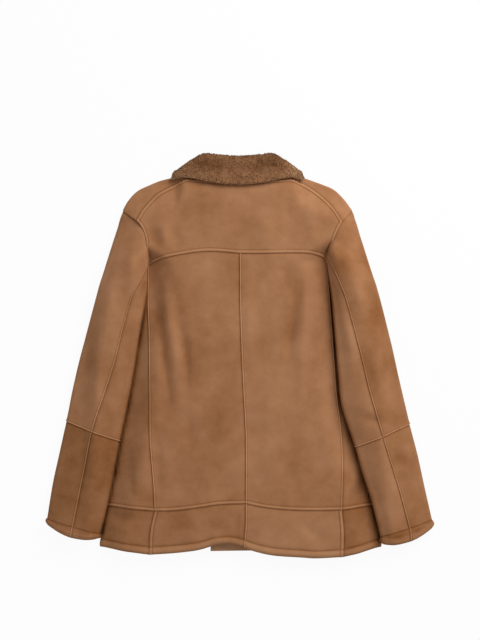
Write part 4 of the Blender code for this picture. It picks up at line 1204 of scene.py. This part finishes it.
def sleeve_shares(side):
    """Shares of the armhole line at the sleeve's lower columns, from its inner to its outer end."""
    outer, inner, seam, radius, top = sleeve_size(side, 0)
    fold = radius / (inner - outer).length
    below_top = [mix(fold, ARMPIT_SEAM, i / UNDER_COLUMNS) for i in range(UNDER_COLUMNS + 1)]
    return [1.0, 1 - fold, (1 - fold + ARMPIT_SEAM) / 2] + below_top[::-1]


print("rise of the fronts' edges:", {side: front_height(side, FRONT_COLUMNS) for side in FRONT_RISE})

# %% Plan and place of a front
def front_plan(side):
    lines = LINES[side]
    edge_x = FRONT_EDGE[side]
    sign = SIGN[side]

    def fold_start(share):
        edge, inward, reach = shoulder_fold(side, share * SHOULDER_COLUMNS)
        return edge + inward * RIM_RADIUS
    neckline = line([fold_start(1)] + [(sign * x, y) for x, y in FRONT_NECKLINE]
                    + [(edge_x, FRONT_NECK_END_Y)])
    shares = sleeve_shares(side)
    marks = [(i / (len(shares) - 1), share) for i, share in enumerate(shares)]

    def front_armhole(share):
        return lines["armhole"](table(marks, share))
    underarm = line([lines["front_side_seam"](0), lines["armpit"](UNDERARM_MIDDLE), lines["armpit"](0)])
    west = chain([0, SIDE_SEAM_ROWS / FRONT_ROWS, (SIDE_SEAM_ROWS + 1) / FRONT_ROWS, 1],
                 back_along(lines["front_side_seam"]), underarm, front_armhole)
    corner = line([lines["front_side_seam"](1), (edge_x, FRONT_HEM_SEAM_Y)])
    centre = line([(edge_x, FRONT_HEM_SEAM_Y), neckline(1)])
    north = chain([0, column_share(SHOULDER_COLUMNS), 1], fold_start, neckline)
    return patch(corner, north, west, centre)


def front_place(side):
    plan = front_plan(side)
    quarter = math.pi / 2 * RIM_RADIUS

    def place(column, row, layer):
        depth = layer * WALL
        if row <= FRONT_ROWS:
            x, y = plan(column_share(column), row / FRONT_ROWS)
            return Vector((x, y, front_height(side, column) + depth))
        edge, inward, reach = shoulder_fold(side, min(column, SHOULDER_COLUMNS))
        step = row - FRONT_ROWS
        if step <= FOLD_STEPS:
            return folded_point(edge, inward, quarter * (2 * step / FOLD_STEPS - 1), depth)
        share = (step - FOLD_STEPS) / STRIP_ROWS
        return back_point(edge + inward * mix(RIM_RADIUS, reach, share), depth)
    return place


print("left front's corner at its hem and edge:", front_place("left")(FRONT_COLUMNS, 0, 0))

# %% Building the fronts
# Shares of a row or a column by which a front's hidden borders keep clear of the pieces beside it.
SHORT_OF_SHOULDER = 0.03
SHORT_OF_SEAM = 0.01


def make_front(side):
    name = "front_" + side
    rows = FRONT_ROWS + FOLD_STEPS + STRIP_ROWS
    spots = even_spots((FRONT_COLUMNS, rows), FRONT_REFINE)
    spots[:, -1, 1] -= SHORT_OF_SHOULDER
    spots[:, 0, 1] += SHORT_OF_SEAM
    spots[0, :, 0] += SHORT_OF_SEAM
    layers = both_layers(front_place(side), spots)
    last, shoulder, top, end = (count * FRONT_REFINE
                                for count in (FRONT_COLUMNS, SHOULDER_COLUMNS, FRONT_ROWS, rows))
    outer = layers[0]
    whole, front, strip = [flat_size(net) for net in (outer, outer[:, :top + 1], outer[:shoulder + 1, top:])]
    cover(name, layers, ("plain", "plain", "plain", "under"), "body",
          [(0, last, 0, top), (0, shoulder, top, end)])


def make_hem_front(side):
    edge_x = FRONT_EDGE[side]
    seam, edge = LINES[side]["front_hem_side_seam"], LINES[side]["front_hem_edge"]
    top = line([seam(0), (edge_x, FRONT_HEM_SEAM_Y)])
    plan = patch(edge, top, back_along(seam), line([edge(1), top(1)]))

    def place(column, row, layer):
        x, y = plan(column_share(column), row / HEM_ROWS)
        return Vector((x, y, front_height(side, column) + layer * WALL))
    hide("hem_front_" + side, place, (FRONT_COLUMNS, HEM_ROWS), ("plain", "plain", "plain", "plain"),
         lining=SUEDE)


for each_side in ("left", "right"):
    make_front(each_side)
    make_hem_front(each_side)

# %% [markdown]
# ## The sleeves
# Each sleeve is a topsleeve, which goes round its outer fold, and an undersleeve round its inner fold.
# Both are pieced at the elbow. The seam down the back of the sleeve and the elbow seam are lapped, and
# the end is turned up as a cuff.

# %% Sleeve sections
# Columns over the top, round the outer or inner fold, and across the rest of the undersleeve.
TOP_COLUMNS = 5
OUTER_COLUMNS = 4
INNER_COLUMNS = 2


def girth_stops(side, station, which):
    """Girths of the frame's columns across the topsleeve or the undersleeve at a station."""
    radius = sleeve_size(side, station)[3]
    back, under, whole = seam_girth(side, station)
    quarter = math.pi / 2 * radius
    if which == "topsleeve":
        over = [mix(back, quarter, i / TOP_COLUMNS) for i in range(TOP_COLUMNS)]
        round_fold = [quarter * (1 - 2 * i / OUTER_COLUMNS) for i in range(OUTER_COLUMNS)]
        below = [-mix(quarter, under, i / UNDER_COLUMNS) for i in range(UNDER_COLUMNS + 1)]
        return over + round_fold + below
    inner_fold = whole / 2 - quarter
    over = [mix(back, inner_fold, i / INNER_COLUMNS) for i in range(INNER_COLUMNS)]
    round_fold = [inner_fold + 2 * quarter * i / OUTER_COLUMNS for i in range(OUTER_COLUMNS)]
    below = [mix(inner_fold + 2 * quarter, whole - under, i / INNER_COLUMNS)
             for i in range(INNER_COLUMNS + 1)]
    return over + round_fold + below


def on_ring(side, station, girth, depth, proud=0.0):
    """A sleeve's point for a girth that may run on past the inner edge to the lower layer."""
    whole = seam_girth(side, station)[2]
    if girth > whole / 2:
        girth -= whole
    return sleeve_point(side, station, girth, depth, proud)


def between(values, at):
    """A list read at a fractional place."""
    i = min(int(at), len(values) - 2)
    return mix(values[i], values[i + 1], at - i)


print("left topsleeve:", [round(girth * 1000) for girth in girth_stops("left", 0, "topsleeve")], "mm")

# %% Sleeve pieces
SLEEVE_ROWS = 2              # rows to a station
ARMHOLE_START = 0.004        # of a station, clear of the armhole
TUCK_STATIONS = 0.09         # the sleeve's head is tucked under the body over this much of a station
TUCK_IN = 0.0036
TUCK_DOWN = 0.0030
TUCK_HEIGHT = 4 * RIM_RADIUS     # and wholly so from this height up
STRETCHES = {"upper": (0, ELBOW), "lower": (ELBOW, CUFF_TURN)}
SLEEVE_KINDS = {
    ("topsleeve", "upper"): ("ridge", "plain", "ridge", "under"),
    ("topsleeve", "lower"): ("ridge", "plain", "plain", "under"),
    ("undersleeve", "upper"): ("under", "plain", "ridge", "under"),
    ("undersleeve", "lower"): ("under", "plain", "plain", "under"),
}


def make_sleeve_piece(side, which, stretch):
    first, last = STRETCHES[stretch]
    columns = len(girth_stops(side, 0, which)) - 1
    rows = (last - first) * SLEEVE_ROWS
    start, end = LINES[side]["armhole"](0), LINES[side]["armhole"](1)
    inward = Vector((start.y - end.y, abs(end.x - start.x))).normalized()
    inward.x *= -SIGN[side]

    def place(column, row, layer):
        station = max(mix(last, first, row / rows), ARMHOLE_START)
        girth = between(girth_stops(side, station, which), column)
        point = on_ring(side, station, girth, layer * WALL)
        tuck = 1 - ease(station / TUCK_STATIONS)
        above = ease(point.z / TUCK_HEIGHT)
        return point + Vector((inward.x * TUCK_IN, inward.y * TUCK_IN, -TUCK_DOWN)) * tuck * above
    name = "_".join((which, stretch, side))
    hide(name, place, (columns, rows), SLEEVE_KINDS[which, stretch], "sleeve")


for each_side in ("left", "right"):
    for each_piece, each_stretch in SLEEVE_KINDS:
        make_sleeve_piece(each_side, each_piece, each_stretch)

# %% [markdown]
# ## The cuffs
# Each cuff is the sleeve's own end turned up inside and stitched, so it is a plump band with a rounded
# end and a line of thread above it. Its two ends meet at the back seam.

# %% Cuffs
def make_cuff(side):
    under_columns = len(girth_stops(side, CUFF_TURN, "undersleeve"))
    columns = under_columns + len(girth_stops(side, CUFF_TURN, "topsleeve")) - 2

    def place(column, row, layer):
        station = mix(CUFF_END, CUFF_TURN, row)
        top = girth_stops(side, station, "topsleeve")
        under = girth_stops(side, station, "undersleeve")
        whole = seam_girth(side, station)[2]
        band = under + [girth + whole for girth in top[::-1][1:]]
        girth = between(band, column)
        if girth > whole:
            girth -= whole
        return on_ring(side, station, girth, layer * (WALL + CUFF_PROUD), CUFF_PROUD)
    hide("cuff_" + side, place, (columns, 1), ("under", "ridge", "turned", "under"), "sleeve")


for each_side in ("left", "right"):
    make_cuff(each_side)

# %% [markdown]
# ## The collar
# The collar is the skin turned wool side out. Its body is a soft roll on the frame's solid, heaped up in
# clumps as sheared curly wool heaps, and curls stand all over its face. A curl is a short wisp bent
# round on itself. The stand under it is a narrow strip of suede.

# %% Collar stand
STAND_ROWS = 3
STAND_EDGE = [(-0.109, 0.375), (-0.097, 0.380), (0.0, 0.388), (0.097, 0.380), (0.109, 0.375)]
# How far the stand's top edge lifts, by distance from the middle, to meet the collar's underside.
STAND_RISE = [(0.0, 0.0067), (0.070, 0.0084), (0.097, 0.0071), (0.109, 0.0028)]


def make_collar_stand():
    plan = patch(line(NECK_SEAM), line(STAND_EDGE),
                 line([NECK_SEAM[0], STAND_EDGE[0]]), line([NECK_SEAM[-1], STAND_EDGE[-1]]))

    def place(column, row, layer):
        share = row / STAND_ROWS
        point = back_point(plan(column / YOKE_COLUMNS, share), layer * WALL)
        point.z += table(STAND_RISE, abs(point.x)) * share ** 2
        return point
    hide("collar_stand", place, (YOKE_COLUMNS, STAND_ROWS), ("plain", "plain", "under", "plain"))


make_collar_stand()

# %% Shape of the collar
COLLAR_STEPS = 2 * (len(COLLAR) - 1)
LAST_STATION = len(COLLAR) - 1.0001    # just short of the last, as a reading needs the next one too


def collar_section(along):
    """Fold edge, free edge, direction of the outer face and thickness, from -10 to 10 round the neck."""
    sign = 1 if along >= 0 else -1
    station = len(COLLAR) - 1 - abs(along)
    fx, fy, fz, ex, ey, ez, turn, full = stations(COLLAR, min(station, LAST_STATION))
    turn = math.radians(turn)
    face = Vector((math.sin(turn) * sign, 0, math.cos(turn)))
    reach = COLLAR_RIGHT if along > 0 else -1
    return Vector((fx * reach, fy, fz)), Vector((ex * reach, ey, ez)), face, full


def collar_point(share, along, layer, heap=0.0):
    """A point of the collar: share runs from its fold edge to its free edge, layer 0 is the wool side."""
    fold, free, face, full = collar_section(along)
    middle = fold.lerp(free, share)
    round_off = math.sin(math.pi * share) ** COLLAR_ROUND if 0 < share < 1 else 0.0
    return middle + face * (full * mix(COLLAR_EDGE, 1, round_off) * (0.5 - layer) + heap)


print("collar's crest at the back:", [round(value, 3) for value in collar_point(0.5, 0, 0)])

# %% Heaps and painted shade of the wool
CLUMP = 0.0012               # height of the wool's heaps
CLUMP_LENGTH = 0.011
FINE_CLUMPS = 2.3            # finer heaps, this many to a heap
FINE_HEIGHT = 0.6
# painted shade and light on the wool: HEAP_SHADE makes the heaps paler and the hollows between them darker
WOOL_PLAIN, HEAP_SHADE, CREST_SHADE, EDGE_SHADE, END_SHADE = 0.34, 0.18, 0.26, 0.12, 0.40
CREST_SHARE, CREST_WIDTH = 0.36, 0.22  # where the dark crest runs, from fold edge to free edge
CREST_ALONG, CREST_LENGTH = 1.8, 1.3   # and along the collar, in steps from the back
ENDS_FROM, ENDS_RUN = 2.1, 2.0         # the paler ends, in the same steps


def wool_heap(point):
    """Height of the wool's heaps at a point, about from -1 to 1."""
    coarse = point / CLUMP_LENGTH
    return noise.noise(coarse) + FINE_HEIGHT * noise.noise(coarse * FINE_CLUMPS)


def wool_shade(share, along, heap):
    """Wear and painted shade of the wool: darker in the hollows and paler on the heaps as painted shade and
    light, darker along the roll's crest, paler down at the free edge and at the ends.
    """
    crest = math.exp(-((share - CREST_SHARE) / CREST_WIDTH) ** 2)
    crest *= math.exp(-((abs(along) - CREST_ALONG) / CREST_LENGTH) ** 2)
    end = ease((abs(along) - ENDS_FROM) / ENDS_RUN)
    return WOOL_PLAIN + HEAP_SHADE * heap - CREST_SHADE * crest + EDGE_SHADE * share ** 2 + END_SHADE * end


print("wear of the wool at the back and at the ends:", round(wool_shade(0.5, 0, 0), 2),
      round(wool_shade(0.5, COLLAR_STEPS / 2, 0), 2))

# %% Collar body
COLLAR_ROWS_PER_STEP = 8
COLLAR_COLUMNS = 22
WOOL_SINK = -0.0006          # the heaps start this far inside the frame's solid
SUEDE_SINK = 0.0003          # and its suede side this far


def make_collar_body():
    rows = COLLAR_STEPS * COLLAR_ROWS_PER_STEP
    outer = np.zeros((COLLAR_COLUMNS + 1, rows + 1, 3))
    inner = outer.copy()
    wear_and_painted_shade = np.zeros(outer.shape[:2])
    for i in range(COLLAR_COLUMNS + 1):
        share = 0.5 - 0.5 * math.cos(math.pi * i / COLLAR_COLUMNS)
        for j in range(rows + 1):
            along = j / COLLAR_ROWS_PER_STEP - COLLAR_STEPS / 2
            flat = collar_point(share, along, 0)
            heap = wool_heap(flat)
            outer[i, j] = collar_point(share, along, 0, CLUMP * heap + WOOL_SINK)
            inner[i, j] = collar_point(share, along, 1, SUEDE_SINK)
            wear_and_painted_shade[i, j] = wool_shade(share, along, heap)
    flat_size(outer)
    SHEETS["collar_fall"] = lay_hide("collar_wool", outer, inner, wear_and_painted_shade, lining=SUEDE, skin=CURLS)
    print("collar_fall has", outer.shape[0] * outer.shape[1] * 2, "corners")


make_collar_body()

# %% The shapes of a curl
CURL_HEIGHT = 0.0022
CURL_THICKNESS = 0.00062
CURL_KINDS = 5
CURL_SEGMENTS = 5
CURL_TURN, MORE_TURN = 3.6, 0.9        # how far round the first kind goes, in radians, and each one more
CURL_RADIUS, MORE_RADIUS = 0.0009, 0.00014
CURL_TAPER = 0.35            # share by which the helix narrows on its way up


def curl_mesh(number):
    """A wisp of wool: a three-sided tube spun round a helix that narrows to its tip."""
    turn = CURL_TURN + MORE_TURN * number
    radius = CURL_RADIUS + MORE_RADIUS * number
    made = bmesh.new()
    ring_of = bmesh.ops.create_circle(made, segments=3, radius=CURL_THICKNESS, cap_ends=True)
    bmesh.ops.translate(made, vec=(radius, 0, 0), verts=ring_of["verts"])
    bmesh.ops.spin(made, geom=made.verts[:] + made.edges[:] + made.faces[:], axis=(0, 0, 1), cent=(0, 0, 0),
                   dvec=(0, 0, CURL_HEIGHT / CURL_SEGMENTS), angle=turn, steps=CURL_SEGMENTS)
    for corner in made.verts:
        up = min(max(corner.co.z / CURL_HEIGHT, 0.0), 1.0)
        corner.co.x *= 1 - CURL_TAPER * up
        corner.co.y *= 1 - CURL_TAPER * up
    return to_mesh(made, "curl_shape")


curl_shapes = [curl_mesh(number) for number in range(CURL_KINDS)]
print("kinds of curl:", len(curl_shapes), "with", len(curl_shapes[0].polygons), "faces each")

# %% Curls over the whole collar
random.seed(11)
CURLS_PER_COLLAR = 5200
ALL_ROUND = 0.15             # this share of them stands anywhere, and the rest on the part that is seen
SEEN_STEPS = 6.2             # from the back
CURL_SINK = 0.0018           # a curl is rooted this deep in the wool
CURL_LEAN = 0.5              # spread of its lean, with an upright curl's length as 1
CURL_SIZES = (0.75, 1.25)
SHADE_SPREAD = 0.04


def make_curls():
    """All the collar's curls as one joined mesh, each leaning its own way."""
    made = bmesh.new()
    shades = []
    for _ in range(CURLS_PER_COLLAR):
        reach = COLLAR_STEPS / 2 if random.random() < ALL_ROUND else SEEN_STEPS
        along = random.uniform(-reach, reach)
        share = 0.5 - 0.5 * math.cos(math.pi * random.random())
        face = collar_section(along)[2]
        root = collar_point(share, along, 0)
        heap = wool_heap(root)
        tilt = Vector([random.gauss(0, CURL_LEAN) for _ in range(3)])
        pose = (face + tilt).normalized().to_track_quat("Z", "Y").to_matrix().to_4x4()
        pose.translation = root + face * (CLUMP * heap - CURL_SINK)
        size = random.uniform(*CURL_SIZES)
        copy = random.choice(curl_shapes).copy()
        for corner in copy.vertices:
            corner.co = pose @ (corner.co * size)
            corner.co.z = max(corner.co.z, 0.0)
        made.from_mesh(copy)
        # each curl takes the wool's painted shade and light at its root, a little darker or paler at random
        shades += [wool_shade(share, along, heap) + random.gauss(0, SHADE_SPREAD)] * len(copy.vertices)
        bpy.data.meshes.remove(copy)
    bmesh.ops.recalc_face_normals(made, faces=made.faces)
    mesh = to_mesh(made, "collar_curls")
    put_wear_and_painted_shade(mesh, np.array(shades))
    return to_piece(mesh, "collar_curls", CURLS)


collar_curls = make_curls()
for shape in curl_shapes:
    bpy.data.meshes.remove(shape)
print("curls:", len(collar_curls.data.polygons), "faces")

# %% [markdown]
# ## Buttons
# Four turned horn buttons hold the closure underneath. A turner leaves a rim round a shallow dish and
# drills four holes for the thread.

# %% A turned button
BUTTON_SIDES = 48
BUTTON_DISH = 0.0009         # the dish's depth, and the width of its slope
BUTTON_LIP = 0.0024          # width of the flat rim round it
RIM_SEGMENTS = 4


def turn_button(name):
    """A button as it leaves the lathe: a disc with rounded rims and a shallow dish in its lower face."""
    made = bmesh.new()
    bmesh.ops.create_cone(made, cap_ends=True, segments=BUTTON_SIDES, radius1=BUTTON_RADIUS,
                          radius2=BUTTON_RADIUS, depth=BUTTON_HEIGHT)
    bottom = min(made.faces, key=lambda face: face.calc_center_median().z)
    bmesh.ops.inset_region(made, faces=[bottom], thickness=BUTTON_LIP)
    bmesh.ops.inset_region(made, faces=[bottom], thickness=BUTTON_DISH, depth=-BUTTON_DISH)
    rims = []
    for edge in made.edges:
        start, end = edge.verts
        if abs(start.co.z - end.co.z) < HAIR and start.co.xy.length > BUTTON_RADIUS - HAIR:
            rims.append(edge)
    bmesh.ops.bevel(made, geom=rims, offset=BUTTON_RIM, offset_type="OFFSET", segments=RIM_SEGMENTS,
                    profile=0.5, affect="EDGES", material=-1)
    return to_piece(to_mesh(made, name), name, HORN)

# %% Holes for the thread
HOLE_SIDES = 12
HOLE_RADIUS = 0.0010
HOLE_CENTRE = 0.0028         # from the button's middle
BUTTON_CREASE = math.radians(35)


def drill_button(piece):
    """Cuts a button's four holes with a set of drills that are taken away afterwards."""
    drills = bmesh.new()
    away = HOLE_CENTRE / math.sqrt(2)
    for x, y in ((1, 1), (1, -1), (-1, 1), (-1, -1)):
        hole = bmesh.ops.create_cone(drills, cap_ends=True, segments=HOLE_SIDES, radius1=HOLE_RADIUS,
                                     radius2=HOLE_RADIUS, depth=3 * BUTTON_HEIGHT)
        bmesh.ops.translate(drills, vec=(x * away, y * away, 0), verts=hole["verts"])
    cutter = to_piece(to_mesh(drills, "drill", smooth=False), "drill")
    piece.modifiers.new("holes", "BOOLEAN").object = cutter
    bpy.context.view_layer.update()
    drilled = bpy.data.meshes.new_from_object(piece.evaluated_get(bpy.context.evaluated_depsgraph_get()))
    piece.modifiers.clear()
    piece.data = drilled
    bpy.data.objects.remove(cutter)


buttons = []
button_x = (LEFT_FRONT_EDGE + RIGHT_FRONT_EDGE) / 2
for number, button_y in enumerate(BUTTON_HEIGHTS_UP, start=1):
    button = turn_button("button_turned_" + str(number))
    drill_button(button)
    for corner in button.data.vertices:
        corner.co += Vector((button_x, button_y, BUTTON_HEIGHT / 2))
    button.data.set_sharp_from_angle(angle=BUTTON_CREASE)
    buttons.append(button)
print("buttons:", len(buttons), "with", len(buttons[0].data.polygons), "faces each")

# %% [markdown]
# ## Stitches
# A walking-foot machine sews hide with a long stitch, here 4.4 mm. Each stitch is a short rod of thread
# with rounded ends that dips into the hide at both ends, so only its back stands in the groove.

# %% Stitches
STITCH_PITCH = 0.0044
STITCH_LENGTH = 0.0034
STITCH_RADIUS = 0.00042
THREAD_LIFT = 0.3            # of its radius, so that the thread's back stands in the groove
LOOK_AHEAD = 0.002           # how far on a stitch looks for its direction
LEAST_AHEAD = 1e-5
LOWEST_FACING = -0.3         # no stitches where the hide looks down more than this


def stitch_mesh():
    """One stitch: a rod of thread with rounded ends."""
    made = bmesh.new()
    rod = bmesh.ops.create_icosphere(made, subdivisions=1, radius=1.0)
    bmesh.ops.scale(made, vec=(STITCH_LENGTH / 2, STITCH_RADIUS, STITCH_RADIUS), verts=rod["verts"])
    return to_mesh(made, "stitch_shape")


def read_at(run, runs, points):
    """The point or direction at a distance along a line."""
    return Vector([np.interp(run, runs, points[:, axis]) for axis in range(3)])


def sew(owner, lines_of_owner):
    """One joined mesh of stitches along the lines of a piece."""
    shape = stitch_mesh()
    made = bmesh.new()
    for points, normals in lines_of_owner:
        runs = runs_along(points)
        for number in range(int(runs[-1] / STITCH_PITCH)):
            run = (number + 0.5) * STITCH_PITCH
            middle = read_at(run, runs, points)
            along = read_at(run + LOOK_AHEAD, runs, points) - middle
            normal = read_at(run, runs, normals).normalized()
            if along.length < LEAST_AHEAD or normal.z < LOWEST_FACING:
                continue
            along.normalize()
            side = normal.cross(along).normalized()
            copy = shape.copy()
            for corner in copy.vertices:
                x, y, z = corner.co
                corner.co = middle + along * x + side * y + normal * (z + STITCH_RADIUS * THREAD_LIFT)
            made.from_mesh(copy)
            bpy.data.meshes.remove(copy)
    bpy.data.meshes.remove(shape)
    return to_piece(to_mesh(made, owner + "_stitches"), owner + "_stitches", THREAD)


STITCHES = {}
for owner in sorted({name for name, points, normals in SEWN}):
    STITCHES[owner] = sew(owner, [(points, normals) for name, points, normals in SEWN if name == owner])
print("stitches:", sum(len(piece.data.polygons) for piece in STITCHES.values()), "faces")

# %% [markdown]
# ## The pieces on the body
# Every piece rides on the jacket's one body and stands for its solid, and the frame's own part for each
# piece of hide and each button is hidden. flat_size measures a piece of hide's cut size over its surface
# before the folds, and rests_on tells what a piece lies on; neither is stored with the pieces here.

# %% What lies on what
FLOOR_SIZE = 4.0
floor_mesh = bmesh.new()
bmesh.ops.create_grid(floor_mesh, x_segments=1, y_segments=1, size=FLOOR_SIZE)
floor = to_piece(to_mesh(floor_mesh, "floor", smooth=False), "floor")


def rests_on(name):
    """What a piece lies on, from its place in the garment."""
    side = name.rsplit("_", 1)[-1]
    if name in ("front_left", "front_right", "hem_front_left", "hem_front_right"):
        return [floor]
    if "sleeve" in name or "cuff" in name:
        return [floor, SHEETS["side_" + side]]
    if name in ("collar_fall", "collar_stand"):
        return [SHEETS["back_yoke"]]
    if name == "back_yoke":
        return [SHEETS["front_left"], SHEETS["front_right"]]
    return [SHEETS["front_" + side]]


print("the left cuff rests on:", [piece.name for piece in rests_on("cuff_left")])

# %% Attach every piece to the body
for name, piece in SHEETS.items():
    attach(piece, "root")
    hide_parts(name)
for piece in STITCHES.values():
    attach(piece, "root")
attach(collar_curls, "root")
for number, piece in enumerate(buttons):
    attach(piece, "root")
    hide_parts("button_" + str(number + 1))

# %% [markdown]
# ## Floor, light and camera
# The jacket lies on a plain white sheet and is seen from straight above. A broad soft lamp hangs to the
# upper right and a weaker one opposite, so that the folds shade softly towards the lower left.

# %% Floor
FLOOR_WHITE = 0.94           # share of the floor's look that is plain white; the rest takes the shadow
LARGER = {"operation": "MAXIMUM"}


def seen_rays(made):
    """1 for the rays that show a surface or a backdrop, rather than light something."""
    rays = add(made, "ShaderNodeLightPath").outputs
    seen = add(made, "ShaderNodeMath", {0: rays["Is Camera Ray"], 1: rays["Is Glossy Ray"]}, LARGER)
    return add(made, "ShaderNodeMath", {0: seen.outputs[0], 1: rays["Is Transmission Ray"]},
               LARGER).outputs[0]


def make_floor_finish():
    made, shader = start("plain white floor")
    fill(made, shader, {"Base Color": colour("e6e6e6"), "Roughness": 0.9})
    share = add(made, "ShaderNodeMath", {0: seen_rays(made), 1: FLOOR_WHITE}, {"operation": "MULTIPLY"})
    white = add(made, "ShaderNodeEmission", {"Color": (1, 1, 1, 1), "Strength": 1.0})
    both = add(made, "ShaderNodeMixShader", {0: share.outputs[0], 1: shader.outputs[0],
                                             2: white.outputs[0]})
    fill(made, made.node_tree.nodes["Material Output"], {"Surface": both.outputs[0]})
    return made


floor.data.materials.append(make_floor_finish())
print("floor:", floor.data.materials[0].name)

# %% World and lamps
WORLD_LIGHT = 0.39
world = bpy.data.worlds.new("studio")
bpy.context.scene.world = world
world.use_nodes = True
background = world.node_tree.nodes["Background"]
fill(world, background, {"Color": (1, 1, 1, 1), "Strength": WORLD_LIGHT})
white = add(world, "ShaderNodeBackground", {"Color": (1, 1, 1, 1), "Strength": 1.0})
both = add(world, "ShaderNodeMixShader", {0: seen_rays(world), 1: background.outputs[0],
                                          2: white.outputs[0]})
fill(world, world.node_tree.nodes["World Output"], {"Surface": both.outputs[0]})


def lamp(name, place, size, power):
    """A soft square lamp that looks at the jacket's middle."""
    data = bpy.data.lights.new(name, "AREA")
    data.size = size
    data.energy = power
    made = bpy.data.objects.new(name, data)
    made.location = place
    made.rotation_euler = (Vector((0, 0, 0)) - Vector(place)).to_track_quat("-Z", "Y").to_euler()
    bpy.context.scene.collection.objects.link(made)
    print(name, "lamp:", power, "W,", size, "m wide")


lamp("key", place=(1.4, 1.6, 1.6), size=1.8, power=64)
lamp("fill", place=(-1.7, -0.6, 1.9), size=1.6, power=6)

# %% Camera
VIEW_CENTRE = (0.0020, 0.0704)
VIEW_HEIGHT = 1.306          # what the view's height covers where the outline lies
OUTLINE_HEIGHT = 0.008       # of the garment's outermost line above the floor
CAMERA_DISTANCE = 2.8
SENSOR_WIDTH = 36            # in millimetres, as is the lens
camera_data = bpy.data.cameras.new("camera")
camera_data.sensor_width = SENSOR_WIDTH
camera_data.lens = SENSOR_WIDTH * CAMERA_DISTANCE / VIEW_HEIGHT
camera = bpy.data.objects.new("camera", camera_data)
camera.location = (VIEW_CENTRE[0], VIEW_CENTRE[1], CAMERA_DISTANCE + OUTLINE_HEIGHT)
bpy.context.scene.collection.objects.link(camera)
bpy.context.scene.camera = camera
bpy.context.scene.view_settings.view_transform = "Standard"
print("lens:", round(camera_data.lens, 1), "mm")
